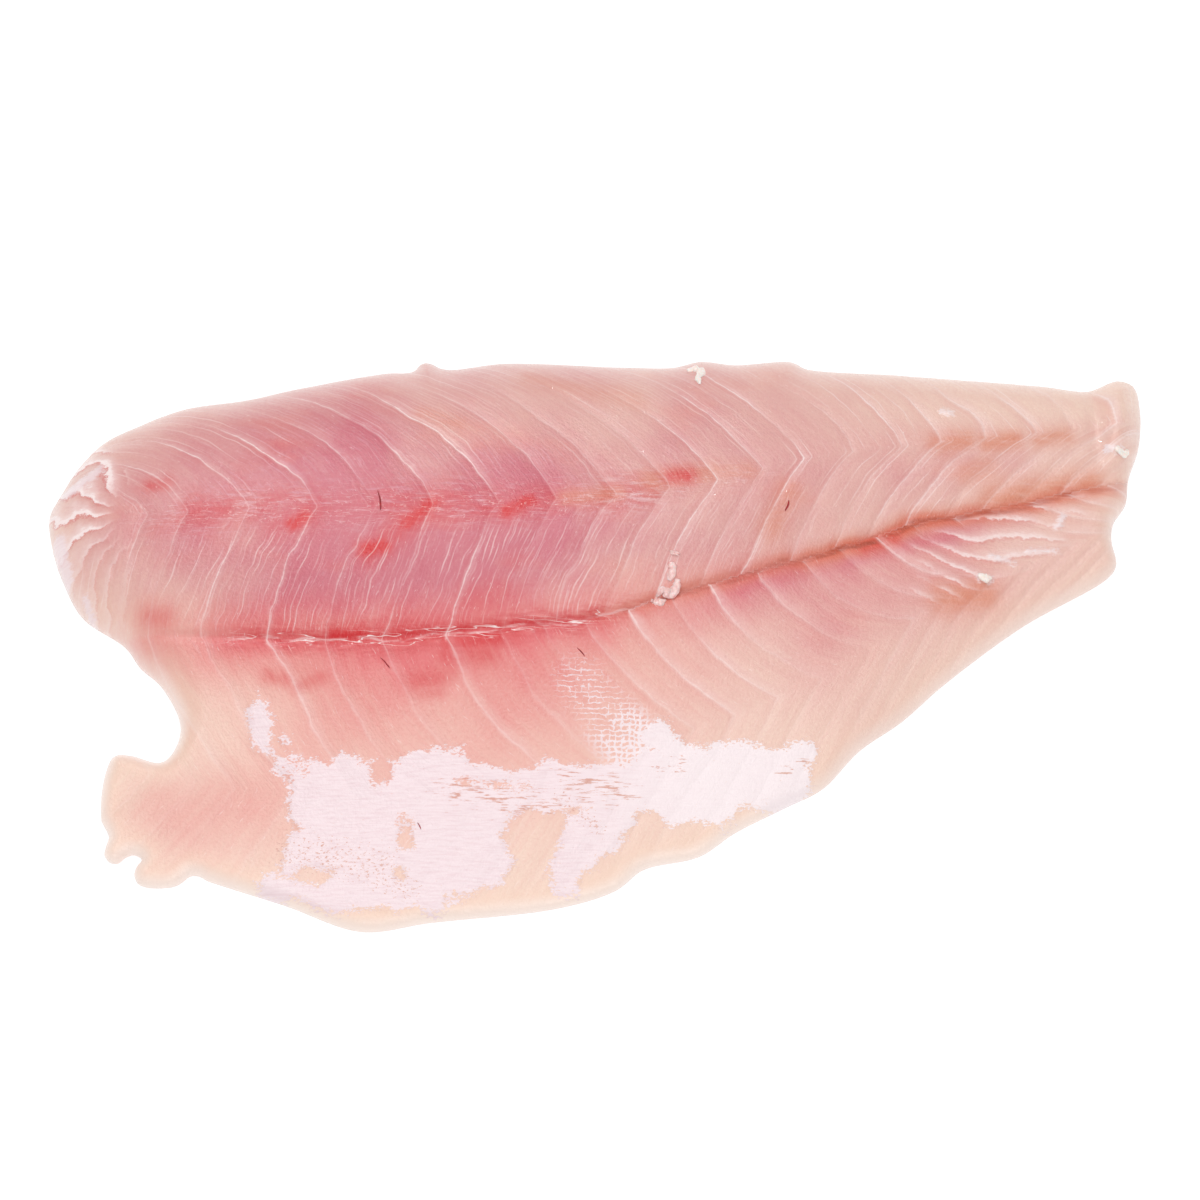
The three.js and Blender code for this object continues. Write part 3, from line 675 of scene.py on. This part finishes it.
def flesh_values(x, y, edge_distance):
    """What the flesh material reads at each point."""
    v = share_at(x, y)
    flake = flake_at(x, y) + wavering(x, y)
    leaf, leaves = leaf_at(x, y, v)
    fan_white = mixed(*FAN_WHITE, smoothstep(fan_polar(x, y)[0], *FAN_WHITE_TURN))
    leaves = leaves * np.where(x < 0, fan_white, 1)
    _, valley, ridge, _ = (guide(x) for guide in GUIDES)
    torn = stripe(x, v, "torn")
    # painted glow of light through the thin flesh, near-white at the rim
    thin, rim = (1 - smoothstep(edge_distance, 0, width) for width in (THIN_GLOW_WIDTH, RIM_GLOW_WIDTH))
    rim_glow_share = RIM_GLOW_STRENGTH - zone(x, v, "rim_glow_loin")
    streaky = STREAKS["nape"] - zone(x, v, "streaks_tail")
    hairs = zone(x, v, "hairs_band") + zone(x, v, "hairs_loin")
    fray = [h * cloudy(x, flat * y, length, seed) for h, flat, length, seed in FILM_FRAY]
    return {
        "flake": flake,
        "share": v,
        "flake_pitch": flake_pitch(x, y),
        "septum": septum_strength(x, v, flake, np.minimum(leaves, 1)),
        "leaf": leaf,
        "leaves": leaves,
        "rose": rosiness(x, y, v, edge_distance),
        "warm": WARM["most"] * patches(x, WARM["flat"] * y, "warm"),
        "thin": thin * zone(x, v, "thin") * (1 - zone(x, v, "thin_glow_tail")),
        "rim": rim * rim_glow_share * (1 - zone(x, v, "rim_glow_tail")),
        "broad": np.maximum(zone(x, v, "broad_belly"), zone(x, v, "broad_tail")),
        "coral": zone(x, v, "coral") * (1 - zone(x, v, "coral_tail")),
        "streaky": streaky * (STREAKS["belly"] + zone(x, v, "streaks_loin")),
        "blood": marks_field(x, y, BLOOD_MARKS),
        "tan": marks_field(x, y, TAN_MARKS),
        "valley": y - valley + zone(x, v, "valley_drop") + straying(x, y, VALLEY_STRAY, seed=33),
        "brown": np.clip(through(BROWN_ALONG)(x), 0, 1),
        "lateral": y - mixed(valley, ridge, LATERAL_SHARE) + straying(x, y, LATERAL_STRAY, seed=39),
        "thread": zone(x, v, "bloody"),
        "torn": torn,
        "torn_red": torn * patches(x, y, "torn_red"),
        "hairs": hairs * patches(x, y, "hairs"),
        "splits": zone(x, v, "splits") * (1 - torn) * patches(x, y, "splits"),
        "film": film_field(x, y) + np.sum(fray, axis=0),
        "bleached": zone(x, v, "bleached"),
        "slits": marks_field(x, y, FILM_SLITS),
        "pits": marks_field(x, y, FILM_PITS),
        "net": marks_field(x, y, NET_ZONE),
        "tags": strips_field(x, y, TAGS),
    }


def top_height(x, y, distance):
    """Height of the flesh side, at places with their distances from the outline."""
    v = share_at(x, y)
    flake = flake_at(x, y) + wavering(x, y)
    leaf, leaves = leaf_at(x, y, v)
    leaf_rise = np.where(x < 0, NAPE_FAN["rise"], TAIL_LEAVES["rise"]) * leaves * leaf_profile(leaf)
    flakes = flake_relief(x, v, flake) * (1 - leaves)
    relief = flakes + leaf_rise + lip_relief(x, y) + crease_relief(x, y)
    film = FILM_RISE * smoothstep(film_field(x, y), *FILM_SLOPE)
    tags = TAG_RISE * smoothstep(strips_field(x, y, TAGS), *TAG_SLOPE)
    full = section_height(x, v) + relief + film + tags + straying(x, y, SWELLS, seed=4)
    inwards = 1 - np.minimum(1, distance / np.maximum(LEAST_RIM, RIM_SHARE * full))
    return EDGE_LIFT + (full - EDGE_LIFT) * np.sqrt(1 - inwards**2)


def flesh_mesh(edge):
    """Points and triangles of the fillet's closed skin, and how many points its flesh side has."""
    ring = edge.ring
    rings = [inset(ring, distance) for distance in RIM_RINGS]
    inner = [r[edge.distance(*r.T) > RING_CLEARANCE * distance] for r, distance in zip(rings, RIM_RINGS)]
    inner.append(grid_inside(edge, PITCH, GRID_CLEARANCE))
    plan, faces = filled(ring, np.concatenate(inner))
    x, y = plan.T
    count = len(ring)
    distance = edge.distance(x, y)
    distance[:count] = 0
    z = top_height(x, y, distance)
    points = [np.stack((x, y, z), axis=1)]
    triangles = [faces]
    upper = np.arange(count)
    total = len(plan)
    for under_inset, height in UNDER_RINGS:
        low = inset(ring, under_inset)
        points.append(np.column_stack((low, np.full(count, height))))
        lower = np.arange(total, total + count)
        triangles.append(np.stack((upper, lower, np.roll(upper, -1)), axis=1))
        triangles.append(np.stack((np.roll(upper, -1), lower, np.roll(lower, -1)), axis=1))
        upper = lower
        total += count
    under, under_faces = filled(low, grid_inside(Edge(low), UNDERSIDE_PITCH, UNDERSIDE_CLEARANCE))
    points.append(np.column_stack((under[count:], np.zeros(len(under) - count))))
    index = np.concatenate((upper, np.arange(total, total + len(under) - count)))
    triangles.append(index[under_faces][:, ::-1])
    return np.concatenate(points), np.concatenate(triangles), len(plan)


def to_frame(points):
    return np.column_stack((points[:, :2] - PLAN_CENTRE, points[:, 2])) * MM


def new_object(name, points, triangles):
    mesh = bpy.data.meshes.new(name)
    mesh.from_pydata(to_frame(points).tolist(), [], triangles.tolist())
    mesh.shade_smooth()
    made = bpy.data.objects.new(name, mesh)
    bpy.context.scene.collection.objects.link(made)
    return made


def store(mesh, name, values):
    mesh.attributes.new(name, "FLOAT", "POINT").data.foreach_set("value", values.astype(np.float32))


def linear(red, green, blue):
    """A colour given as it shows on a screen, 0 to 255, as the shader's own numbers."""
    share = np.array((red, green, blue)) / 255
    return (*np.where(share <= 0.04045, share / 12.92, ((share + 0.055) / 1.055) ** 2.4), 1.0)


class Graph:
    """The shader nodes of one material, made and joined by short calls."""

    def __init__(self, name):
        self.material = bpy.data.materials.new(name)
        self.material.use_nodes = True
        self.tree = self.material.node_tree
        self.surface = self.tree.nodes["Principled BSDF"]

    def node(self, kind, inputs=(), **settings):
        made = self.tree.nodes.new(kind)
        for name, value in settings.items():
            setattr(made, name, value)
        for name, value in dict(inputs).items():
            self.feed(made.inputs[name], value)
        return made

    def feed(self, socket, value):
        if isinstance(value, bpy.types.NodeSocket):
            self.tree.links.new(value, socket)
        else:
            socket.default_value = value

    def stored(self, name):
        return self.node("ShaderNodeAttribute", attribute_name=name).outputs["Fac"]

    def place(self):
        """The place on the object in millimetres."""
        place = self.node("ShaderNodeTexCoord").outputs["Object"]
        return self.scaled(place, (1 / MM, 1 / MM, 1 / MM))

    def scaled(self, vector, factors):
        return self.node("ShaderNodeVectorMath", {0: vector, 1: factors}, operation="MULTIPLY").outputs[0]

    def vector(self, x, y, z=0.0):
        return self.node("ShaderNodeCombineXYZ", {0: x, 1: y, 2: z}).outputs[0]

    def math(self, operation, a, b=0.0, c=0.0):
        return self.node("ShaderNodeMath", {0: a, 1: b, 2: c}, operation=operation).outputs[0]

    def times(self, first, *others):
        for other in others:
            first = self.math("MULTIPLY", first, other)
        return first

    def most(self, first, *others):
        for other in others:
            first = self.math("MAXIMUM", first, other)
        return first

    def line(self, value, slope, offset):
        return self.math("MULTIPLY_ADD", value, slope, offset)

    def swayed(self, value, wave, span):
        """A value moved by noise, up or down by half the span at most."""
        return self.line(self.math("SUBTRACT", wave, 0.5), span, value)

    def step(self, value, low, high):
        """0 at low, 1 at high, smooth between them. Low may be above high."""
        inputs = {"Value": value, "From Min": low, "From Max": high}
        made = self.node("ShaderNodeMapRange", inputs, interpolation_type="SMOOTHSTEP")
        return made.outputs["Result"]

    def laid(self, colour, *coats):
        """A colour with coats laid over it in turn, each a paint and the shares by which it covers."""
        for paint, *shares in coats:
            inputs = {0: self.times(*shares), 6: colour, 7: paint}
            made = self.node("ShaderNodeMix", inputs, data_type="RGBA", clamp_factor=True)
            colour = made.outputs[2]
        return colour

    def noise(self, vector, scale, detail, roughness):
        inputs = {"Vector": vector, "Scale": scale, "Detail": detail, "Roughness": roughness}
        made = self.node("ShaderNodeTexNoise", inputs, noise_dimensions="2D").outputs[0]
        return self.line(made, NOISE_SPAN, (1 - NOISE_SPAN) / 2)

    def stretched(self, vector, x, y, detail, roughness):
        """Noise with its own scale along each axis."""
        return self.noise(self.scaled(vector, (x, y, 1.0)), 1.0, detail, roughness)

    def dress(self, inputs):
        for name, value in inputs.items():
            self.feed(self.surface.inputs[name], value)


CREAM = linear(240, 207, 190)
# painted glow of light through the thin flesh, and near-white painted glow at the rim
PAINTED_THIN_GLOW = linear(244, 211, 188)
PAINTED_RIM_GLOW = linear(255, 244, 239)
LILAC_ROSE = linear(202, 104, 118)
WARM_ROSE = linear(214, 98, 94)
CORAL = linear(221, 101, 103)
PALE_LILAC = linear(230, 192, 199)
RED = linear(202, 44, 52)
BLOOD = linear(208, 16, 26)
BROWN = linear(168, 62, 34)
ORANGE = linear(212, 96, 66)
TAN = linear(214, 124, 88)
SEPTUM = linear(250, 230, 228)
SOFT_WHITE = linear(242, 212, 212)
FILM = linear(242, 222, 226)
FILM_SHADE = linear(234, 208, 213)
FILM_WHITE = linear(247, 234, 236)
# painted shadow round the belly film and in its slits and pits
PAINTED_FILM_SHADOW = linear(196, 126, 112)
UNDERSIDE = linear(232, 196, 190)
SKIN_LINE = linear(168, 86, 74)
CLOT_DARK = linear(130, 14, 26)
CLOT_LIGHT = linear(176, 36, 42)
FAT_DARK = linear(244, 226, 216)
FAT_LIGHT = linear(252, 240, 234)
JELLY_DARK = linear(230, 176, 172)
JELLY_LIGHT = linear(245, 216, 212)
WHITE = (1, 1, 1, 1)


def flesh_ground(g, place, across):
    """Cream to rose, mottled along the fibres and grainy, with a painted glow where the flesh is thin and
    at its rim.
    """
    mottle = g.stretched(across, 0.4, 0.12, 3.0, 0.6)
    grain = g.noise(place, 1.1, 2.0, 0.6)
    rose = g.swayed(g.swayed(g.stored("rose"), mottle, 0.32), grain, 0.25)
    deep = g.laid(LILAC_ROSE, (WARM_ROSE, g.stored("warm")), (CORAL, g.stored("coral")))
    # painted glow where the flesh is thin, then near-white painted glow at its rim
    thin = (PAINTED_THIN_GLOW, g.stored("thin"), 0.55)
    return g.laid(CREAM, (deep, rose), thin, (PAINTED_RIM_GLOW, g.stored("rim"))), grain


def blood_marks(g, colour, place, across, valley):
    """Blood along the torn ridge, in the valley and in spots, and the brown lateral line."""
    fibres = g.stretched(place, 0.14, 0.75, 4.0, 0.6)
    frayed = g.step(g.stretched(across, 0.9, 0.3, 4.0, 0.65), 0.32, 0.6)
    near = g.step(valley, 6.0, 0.5)
    bloody = g.stored("thread")
    brown = g.stored("brown")
    return g.laid(
        colour,
        (RED, g.stored("torn_red"), g.step(fibres, 0.4, 0.6), 0.58),
        (PALE_LILAC, g.stored("torn"), g.step(fibres, 0.46, 0.34), 0.45),
        (TAN, g.stored("tan"), g.step(fibres, 0.0, 0.6)),
        (RED, near, bloody, g.step(fibres, 0.36, 0.62), 0.85),
        (TAN, near, brown, 0.7),
        (ORANGE, g.step(valley, 3.6, 0.8), brown, 0.85),
        (BLOOD, g.stored("blood"), g.line(frayed, 0.45, 0.75), 0.95),
        (SOFT_WHITE, g.step(valley, 0.6, 0.1), bloody, g.step(fibres, 0.6, 0.4), 0.45),
        (BROWN, g.step(valley, 1.6, 0.3), brown, g.step(fibres, 0.3, 0.65)),
    )


def septa(g, flake, share):
    """White of the septa: fine lines of uneven width, their soft side and their shaded side."""
    whole = g.math("ROUND", flake)
    broad = g.stored("broad")
    strength = g.stored("septum")
    breaks = g.noise(g.vector(g.times(whole, 3.7), g.times(share, 22.0)), 1.0, 4.0, 0.6)
    off = g.times(g.math("SUBTRACT", flake, whole), g.stored("flake_pitch"))
    off = g.math("DIVIDE", off, g.line(broad, 0.9, 1.0))
    width = g.times(g.line(breaks, 1.7, -0.4), 0.6)
    core = g.step(g.math("ABSOLUTE", off), width, 0.02)
    core = g.times(core, strength, g.line(broad, -0.45, 0.8))
    halo = g.times(g.step(off, 2.0, 0.0), g.step(off, -0.8, 0.0), strength, breaks, 0.6)
    shade = g.times(g.step(off, -2.6, -0.5), g.step(off, -0.1, -0.5), strength, 0.15)
    return core, halo, shade


def leaf_edges(g, ragged):
    """Shares of white along the frayed edges of the leaves, and of painted shade under them."""
    in_leaf = g.math("FRACT", g.swayed(g.stored("leaf"), ragged, 0.7))
    ends = g.step(in_leaf, LEAF_EDGE + 0.1, LEAF_EDGE)
    edge = g.times(g.step(in_leaf, LEAF_EDGE - 0.25, LEAF_EDGE), ends)
    soft = g.times(g.step(in_leaf, 0.0, LEAF_EDGE), ends)
    white = g.line(edge, 0.4, g.times(soft, 0.35))
    # painted shade just past each leaf's dropping edge
    under = g.times(g.step(in_leaf, LEAF_EDGE, LEAF_EDGE + 0.05), g.step(in_leaf, 1.0, 0.9))
    leaves = g.stored("leaves")
    return g.times(white, leaves), g.times(under, leaves, 0.3)


def fine_lines(g, flake, share, sway, lines):
    """Fine white lines between the septa."""
    count = lines["count"]
    number = g.line(flake, count, g.times(sway, 0.3 * count))
    whole = g.math("ROUND", number)
    off = g.math("ABSOLUTE", g.math("SUBTRACT", number, whole))
    off = g.times(off, g.stored("flake_pitch"), 1 / count)
    run = g.vector(g.times(whole, 5.1), g.times(share, lines["breaks"]))
    seen = g.step(g.noise(run, 1.0, 3.0, 0.6), 0.43, 0.63)
    return g.times(g.step(off, 0.27, 0.02), seen, lines["strength"])


def strands(g, place, along, across):
    """Fine strands lying along the fillet, where stretched noise crosses its middle."""
    wave = g.stretched(place, along, across, 2.0, 0.5)
    return g.step(g.math("ABSOLUTE", g.math("SUBTRACT", wave, 0.5)), 0.01, 0.002)


def white_strands(g, place, valley):
    """Strands in the valley, and finer and fainter ones on the torn ridge."""
    low = g.times(strands(g, place, 0.05, 0.45), g.step(valley, 2.6, 0.8), g.stored("thread"))
    high = g.times(strands(g, place, 0.11, 0.7), g.stored("torn"), 0.38)
    return g.most(low, high)


def fibre_white(g, place, flake, share, across, valley):
    """White of the fibres between the septa: painted glints, hairs, splits and strands."""
    # painted glints: small bright dashes along the fibres, standing in for wet highlights
    painted_glints = g.times(g.step(g.stretched(across, 1.7, 0.55, 3.0, 0.6), 0.61, 0.72), 0.45)
    sway = g.noise(g.vector(g.times(flake, 0.9), g.times(share, 1.5)), 1.0, 2.0, 0.5)
    hairs = g.times(fine_lines(g, flake, share, sway, HAIRS), g.stored("hairs"))
    splits = g.times(fine_lines(g, flake, share, sway, SPLITS), g.stored("splits"))
    return g.most(hairs, splits, painted_glints, white_strands(g, place, valley))


def film_cover(g, place, ragged):
    """The belly film: its cover, the rim of painted shadow round it, its openings, and its brushed strokes.
    """
    strokes = g.stretched(place, 0.16, 1.5, 4.0, 0.65)
    torn = g.stretched(place, 0.8, 1.5, 5.0, 0.7)
    inside = g.swayed(g.swayed(g.stored("film"), ragged, 5.0), torn, 11.0)
    slits = g.step(g.line(g.stored("slits"), 0.17, strokes), 0.7, 0.72)
    pits = g.step(g.line(g.stored("pits"), 0.15, torn), 0.7, 0.72)
    openings = g.most(slits, pits)
    specks = g.times(g.step(torn, 0.63, 0.66), 0.5)
    closed = g.math("SUBTRACT", 1.0, g.most(openings, specks))
    cover = g.times(g.step(inside, -0.08, 0.12), closed)
    # band round the film's edge where painted shadow is laid
    rim = g.times(g.step(inside, -0.7, 0.0), g.step(inside, 0.2, 0.0))
    return cover, rim, openings, strokes


def net_line(g, along, spacing, width):
    """Thin lines across an axis, a spacing apart."""
    off = g.math("PINGPONG", along, spacing / 2)
    return g.step(off, width, g.times(width, 0.5))


def film_net(g, place, ragged):
    """Threads of torn film, mostly lengthwise, tied across, and denser close to the film."""
    bent = g.noise(place, 0.3, 3.0, 0.65)
    apart = g.node("ShaderNodeSeparateXYZ", {0: place})
    close = g.step(g.stored("film"), -13.0, -1.0)
    width = g.line(close, 0.22, 0.22)
    rows = net_line(g, g.line(bent, 3.0, apart.outputs[1]), NET["row"], width)
    whole_rows = g.line(close, 0.2, g.stretched(place, 0.3, 1.3, 2.0, 0.5))
    rows = g.times(rows, g.step(whole_rows, 0.4, 0.48))
    ties = net_line(g, g.line(bent, 5.0, apart.outputs[0]), NET["tie"], width)
    whole_ties = g.line(close, 0.25, g.stretched(place, 1.3, 0.4, 2.0, 0.5))
    ties = g.times(ties, g.step(whole_ties, 0.5, 0.58))
    seen = g.times(g.stored("net"), g.line(close, 0.3, ragged))
    return g.times(g.most(rows, ties), g.step(seen, 0.15, 0.55))


def tag_cover(g, ragged):
    """White torn tags."""
    return g.times(g.step(g.swayed(g.stored("tags"), ragged, 7.0), -0.8, 0.8), 0.75)


def film_over(g, colour, place, ragged):
    """The colour with painted shadow at the belly film's rim and openings, and the film, its net and the
    white tags laid over it.
    """
    cover, rim, openings, strokes = film_cover(g, place, ragged)
    by_film = g.step(g.stored("film"), -6.0, -2.0)
    # painted shadow: darkens the flesh in the film's slits and pits and in a rim round the film
    dark = g.line(openings, 0.55, g.times(rim, 0.22))
    paint = g.laid(FILM, (FILM_SHADE, g.step(strokes, 0.4, 0.7)), (FILM_WHITE, g.stored("bleached")))
    film = g.most(cover, film_net(g, place, ragged), tag_cover(g, ragged))
    return g.laid(colour, (PAINTED_FILM_SHADOW, dark, by_film), (paint, film, 0.97))


def skinned_side(g, core, halo, streak, grain):
    """Colour of the underside: pale, streaked, a little rosy, with septa and a reddish band."""
    band = g.step(g.math("ABSOLUTE", g.stored("lateral")), 9.0, 1.0)
    return g.laid(
        UNDERSIDE,
        (WARM_ROSE, g.stored("rose"), 0.35),
        (FILM, g.step(streak, 0.42, 0.7), 0.5),
        (SKIN_LINE, band, g.step(grain, 0.2, 0.8), 0.8),
        (SEPTUM, g.most(g.times(core, 1.5), halo)),
    )


def flesh_material():
    """Moist flesh, from its ground colours up to the film, and the skinned side below."""
    g = Graph("raw_flesh")
    place = g.place()
    flake = g.stored("flake")
    share = g.stored("share")
    across = g.vector(g.times(flake, 15.0), g.times(share, 35.0))
    valley = g.math("ABSOLUTE", g.stored("valley"))
    streak = g.stretched(across, 1.3, 0.22, 4.0, 0.65)
    ragged = g.stretched(place, 0.5, 1.0, 6.0, 0.75)

    colour, grain = flesh_ground(g, place, across)
    colour = g.laid(colour, (PALE_LILAC, g.step(streak, 0.5, 0.8), g.stored("streaky")))
    colour = blood_marks(g, colour, place, across, valley)
    core, halo, shade = septa(g, flake, share)
    leaf_white, painted_leaf_shade = leaf_edges(g, ragged)
    # painted shade beside each septum and under each leaf edge, laid in warm rose
    deep = g.most(shade, painted_leaf_shade)
    white = g.most(core, leaf_white, fibre_white(g, place, flake, share, across, valley))
    colour = g.laid(colour, (WARM_ROSE, deep), (SOFT_WHITE, halo), (SEPTUM, white))
    colour = film_over(g, colour, place, ragged)
    colour = g.laid(colour, (skinned_side(g, core, halo, streak, grain), g.stored("under")))

    height = g.line(grain, 0.2, g.times(streak, 0.14))
    bump = g.node("ShaderNodeBump", {"Height": height, "Distance": MM, "Strength": 1.0}).outputs[0]
    g.dress({
        "Base Color": colour,
        "Normal": bump,
        "Coat Normal": bump,
        "Roughness": g.line(grain, 0.25, 0.22),
        "Coat Weight": 0.5,
        "Coat Roughness": 0.08,
    })
    return g.material


def bake_map(mesh, top_count):
    """A flat map for baking: the flesh side over the lower half, the underside above it."""
    layer = mesh.uv_layers.new(name="OFBake")
    corner = np.empty(len(mesh.loops), np.int32)
    mesh.loops.foreach_get("vertex_index", corner)
    spots = np.empty((len(mesh.vertices), 3), np.float32)
    mesh.vertices.foreach_get("co", spots.ravel())
    low, size = spots.min(axis=0), np.ptp(spots, axis=0).max()
    flat = ((spots[:, :2] - low[:2]) / size)[corner]
    below = np.repeat((corner.reshape(-1, 3) >= top_count).any(axis=1), 3)
    uv = BAKE["top_size"] * flat + BAKE["margin"]
    uv[below] = BAKE["under_size"] * flat[below] + (BAKE["margin"], BAKE["under_from"])
    layer.uv.foreach_set("vector", uv.ravel().astype(np.float32))


def make_flesh(edge):
    points, triangles, top_count = flesh_mesh(edge)
    made = new_object("fillet_flesh", points, triangles)
    x, y, _ = points.T
    for name, values in flesh_values(x, y, edge.distance(x, y)).items():
        store(made.data, name, values)
    store(made.data, "under", (np.arange(len(points)) >= top_count).astype(float))
    bake_map(made.data, top_count)
    made.data.materials.append(flesh_material())
    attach(made, "root")
    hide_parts(NODE)


def tube(path, radii, flat, sides=8):
    """Points and triangles of a closed tube along a path, flattened upwards."""
    along = np.gradient(path, axis=0)
    along /= np.linalg.norm(along, axis=1, keepdims=True)
    side = np.cross(along, (0, 0, 1))
    side /= np.linalg.norm(side, axis=1, keepdims=True)
    up = flat * np.cross(side, along)
    turns = np.arange(sides) * 2 * np.pi / sides
    around = [np.cos(turn) * side + np.sin(turn) * up for turn in turns]
    rings = np.stack([path + radii[:, None] * a for a in around], axis=1)
    points = np.vstack((rings.reshape(-1, 3), path[:1], path[-1:]))
    count = len(path)
    triangles = []
    for i in range(count - 1):
        for j in range(sides):
            a, b = i * sides + j, i * sides + (j + 1) % sides
            triangles += [(a, b, a + sides), (b, b + sides, a + sides)]
    for j in range(sides):
        k = (j + 1) % sides
        last = (count - 1) * sides
        triangles += [(count * sides, k, j), (count * sides + 1, last + j, last + k)]
    return points, np.array(triangles)


def joined(parts):
    points, triangles, total = [], [], 0
    for part_points, part_triangles in parts:
        points.append(part_points)
        triangles.append(part_triangles + total)
        total += len(part_points)
    return np.concatenate(points), np.concatenate(triangles)


def on_flesh(edge, plan, lift):
    """Plan points laid on the flesh side and lifted from it."""
    x, y = plan.T
    return np.column_stack((plan, top_height(x, y, edge.distance(x, y)) + lift))


def wet_material(name, dark, light, roughness, coat):
    """A moist material that varies between two colours."""
    g = Graph(name)
    cloud = g.step(g.noise(g.place(), 1.2, 3.0, 0.5), 0.3, 0.7)
    g.dress({
        "Base Color": g.laid(dark, (light, cloud)),
        "Roughness": roughness,
        "Subsurface Weight": 0.3,
        "Subsurface Radius": (1.0, 0.5, 0.4),
        "Subsurface Scale": MM,
        "Coat Weight": coat,
    })
    return g.material


def thread(edge, x0, y0, x1, y1, radius):
    """A thin tube on the flesh from one plan point to another, bowed and wandering."""
    s = np.linspace(0, 1, THREAD["points"])
    arch = np.sin(s * np.pi)
    wander = uneven(THREAD["turns"] * s, np.full_like(s, x0), 2, seed=41)
    bow = THREAD["bow"] * np.hypot(x1 - x0, y1 - y0) * arch + THREAD["wander"] * wander
    plan = np.column_stack((mixed(x0, x1, s) + bow, mixed(y0, y1, s)))
    radii = radius * (THREAD["ends"] + arch**0.5)
    return tube(on_flesh(edge, plan, THREAD["lift"] * radius), radii, 1.0)


def make_small(name, parts, material):
    made = new_object(name, *joined(parts))
    made.data.materials.append(material)
    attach(made, "root")


def make_threads(edge):
    """Thin clotted vessels lying on the flesh."""
    parts = [thread(edge, *values) for values in THREADS]
    clot = wet_material("clot", CLOT_DARK, CLOT_LIGHT, roughness=0.5, coat=0.0)
    make_small("clotted_threads", parts, clot)


def lump(edge, keys, size):
    """A tube of uneven width on the flesh along a path of plan points."""
    number = np.arange(len(keys))
    s = np.linspace(0, len(keys) - 1, LUMP["points"])
    plan = np.column_stack([through(np.column_stack((number, axis)))(s) for axis in np.array(keys).T])
    taper = np.sin(np.linspace(LUMP["ends"], 1 - LUMP["ends"], len(s)) * np.pi) ** 0.5
    swell = 1 + LUMP["uneven"] * uneven(LUMP["turns"] * s, np.full_like(s, keys[0][0]), 1, seed=42)
    radii = np.maximum(size["radius"] * taper * swell, LUMP["least_radius"])
    return tube(on_flesh(edge, plan, size["lift"]), radii, LUMP["flat"], LUMP["sides"])


def make_shreds(edge):
    """Shreds of white fat."""
    parts = [lump(edge, keys, SHRED_SIZE) for keys in SHREDS]
    fat = wet_material("fat", FAT_DARK, FAT_LIGHT, roughness=0.3, coat=0.5)
    make_small("fat_shreds", parts, fat)


def make_jelly(edge):
    """Lumps of jelly at the crease."""
    parts = [lump(edge, keys, JELLY_SIZE) for keys in JELLY]
    jelly = wet_material("jelly", JELLY_DARK, JELLY_LIGHT, roughness=0.08, coat=1.0)
    make_small("jelly_lumps", parts, jelly)


def make_floor():
    size, low = FLOOR["half_size"], -FLOOR["drop"]
    corners = [(-size, -size, low), (size, -size, low), (size, size, low), (-size, size, low)]
    mesh = bpy.data.meshes.new("floor")
    mesh.from_pydata(corners, [], [(0, 1, 2, 3)])
    floor = bpy.data.objects.new("floor", mesh)
    bpy.context.scene.collection.objects.link(floor)
    g = Graph("pale_floor")
    g.dress({
        "Base Color": (FLOOR["grey"], FLOOR["grey"], FLOOR["grey"], 1),
        "Roughness": FLOOR["roughness"],
        "Emission Color": WHITE,
        "Emission Strength": FLOOR["glow"],
    })
    mesh.materials.append(g.material)


def aimed(name, data, place, away):
    """A light or camera at a place, looking against the direction away."""
    made = bpy.data.objects.new(name, data)
    made.location = place
    made.rotation_euler = (-away).to_track_quat("-Z", "Y").to_euler()
    bpy.context.scene.collection.objects.link(made)
    return made


def make_lights():
    world = bpy.data.worlds.new("studio")
    world.use_nodes = True
    background = world.node_tree.nodes["Background"]
    background.inputs["Color"].default_value = WHITE
    background.inputs["Strength"].default_value = WORLD_STRENGTH
    bpy.context.scene.world = world
    for name, place, size, power in LIGHTS:
        lamp = bpy.data.lights.new(name, "AREA")
        lamp.size = size
        lamp.energy = power
        aimed(name, lamp, place, Vector(place))


def make_camera():
    lens = bpy.data.cameras.new("photo_view")
    lens.lens = CAMERA["lens"]
    lens.sensor_width = CAMERA["sensor"]
    lens.sensor_fit = "HORIZONTAL"
    lens.clip_start = CAMERA["clip_start"]
    angle = np.radians(CAMERA["elevation"])
    away = CAMERA["distance"] * Vector((0, -np.cos(angle), np.sin(angle)))
    bpy.context.scene.camera = aimed("photo_view", lens, Vector(CAMERA["target"]) + away, away)


fillet_edge = Edge(refined(outline_of(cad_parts[NODE]), RING_PARTS))
make_flesh(fillet_edge)
make_threads(fillet_edge)
make_shreds(fillet_edge)
make_jelly(fillet_edge)
make_floor()
make_lights()
make_camera()
bpy.context.scene.view_settings.view_transform = "Standard"
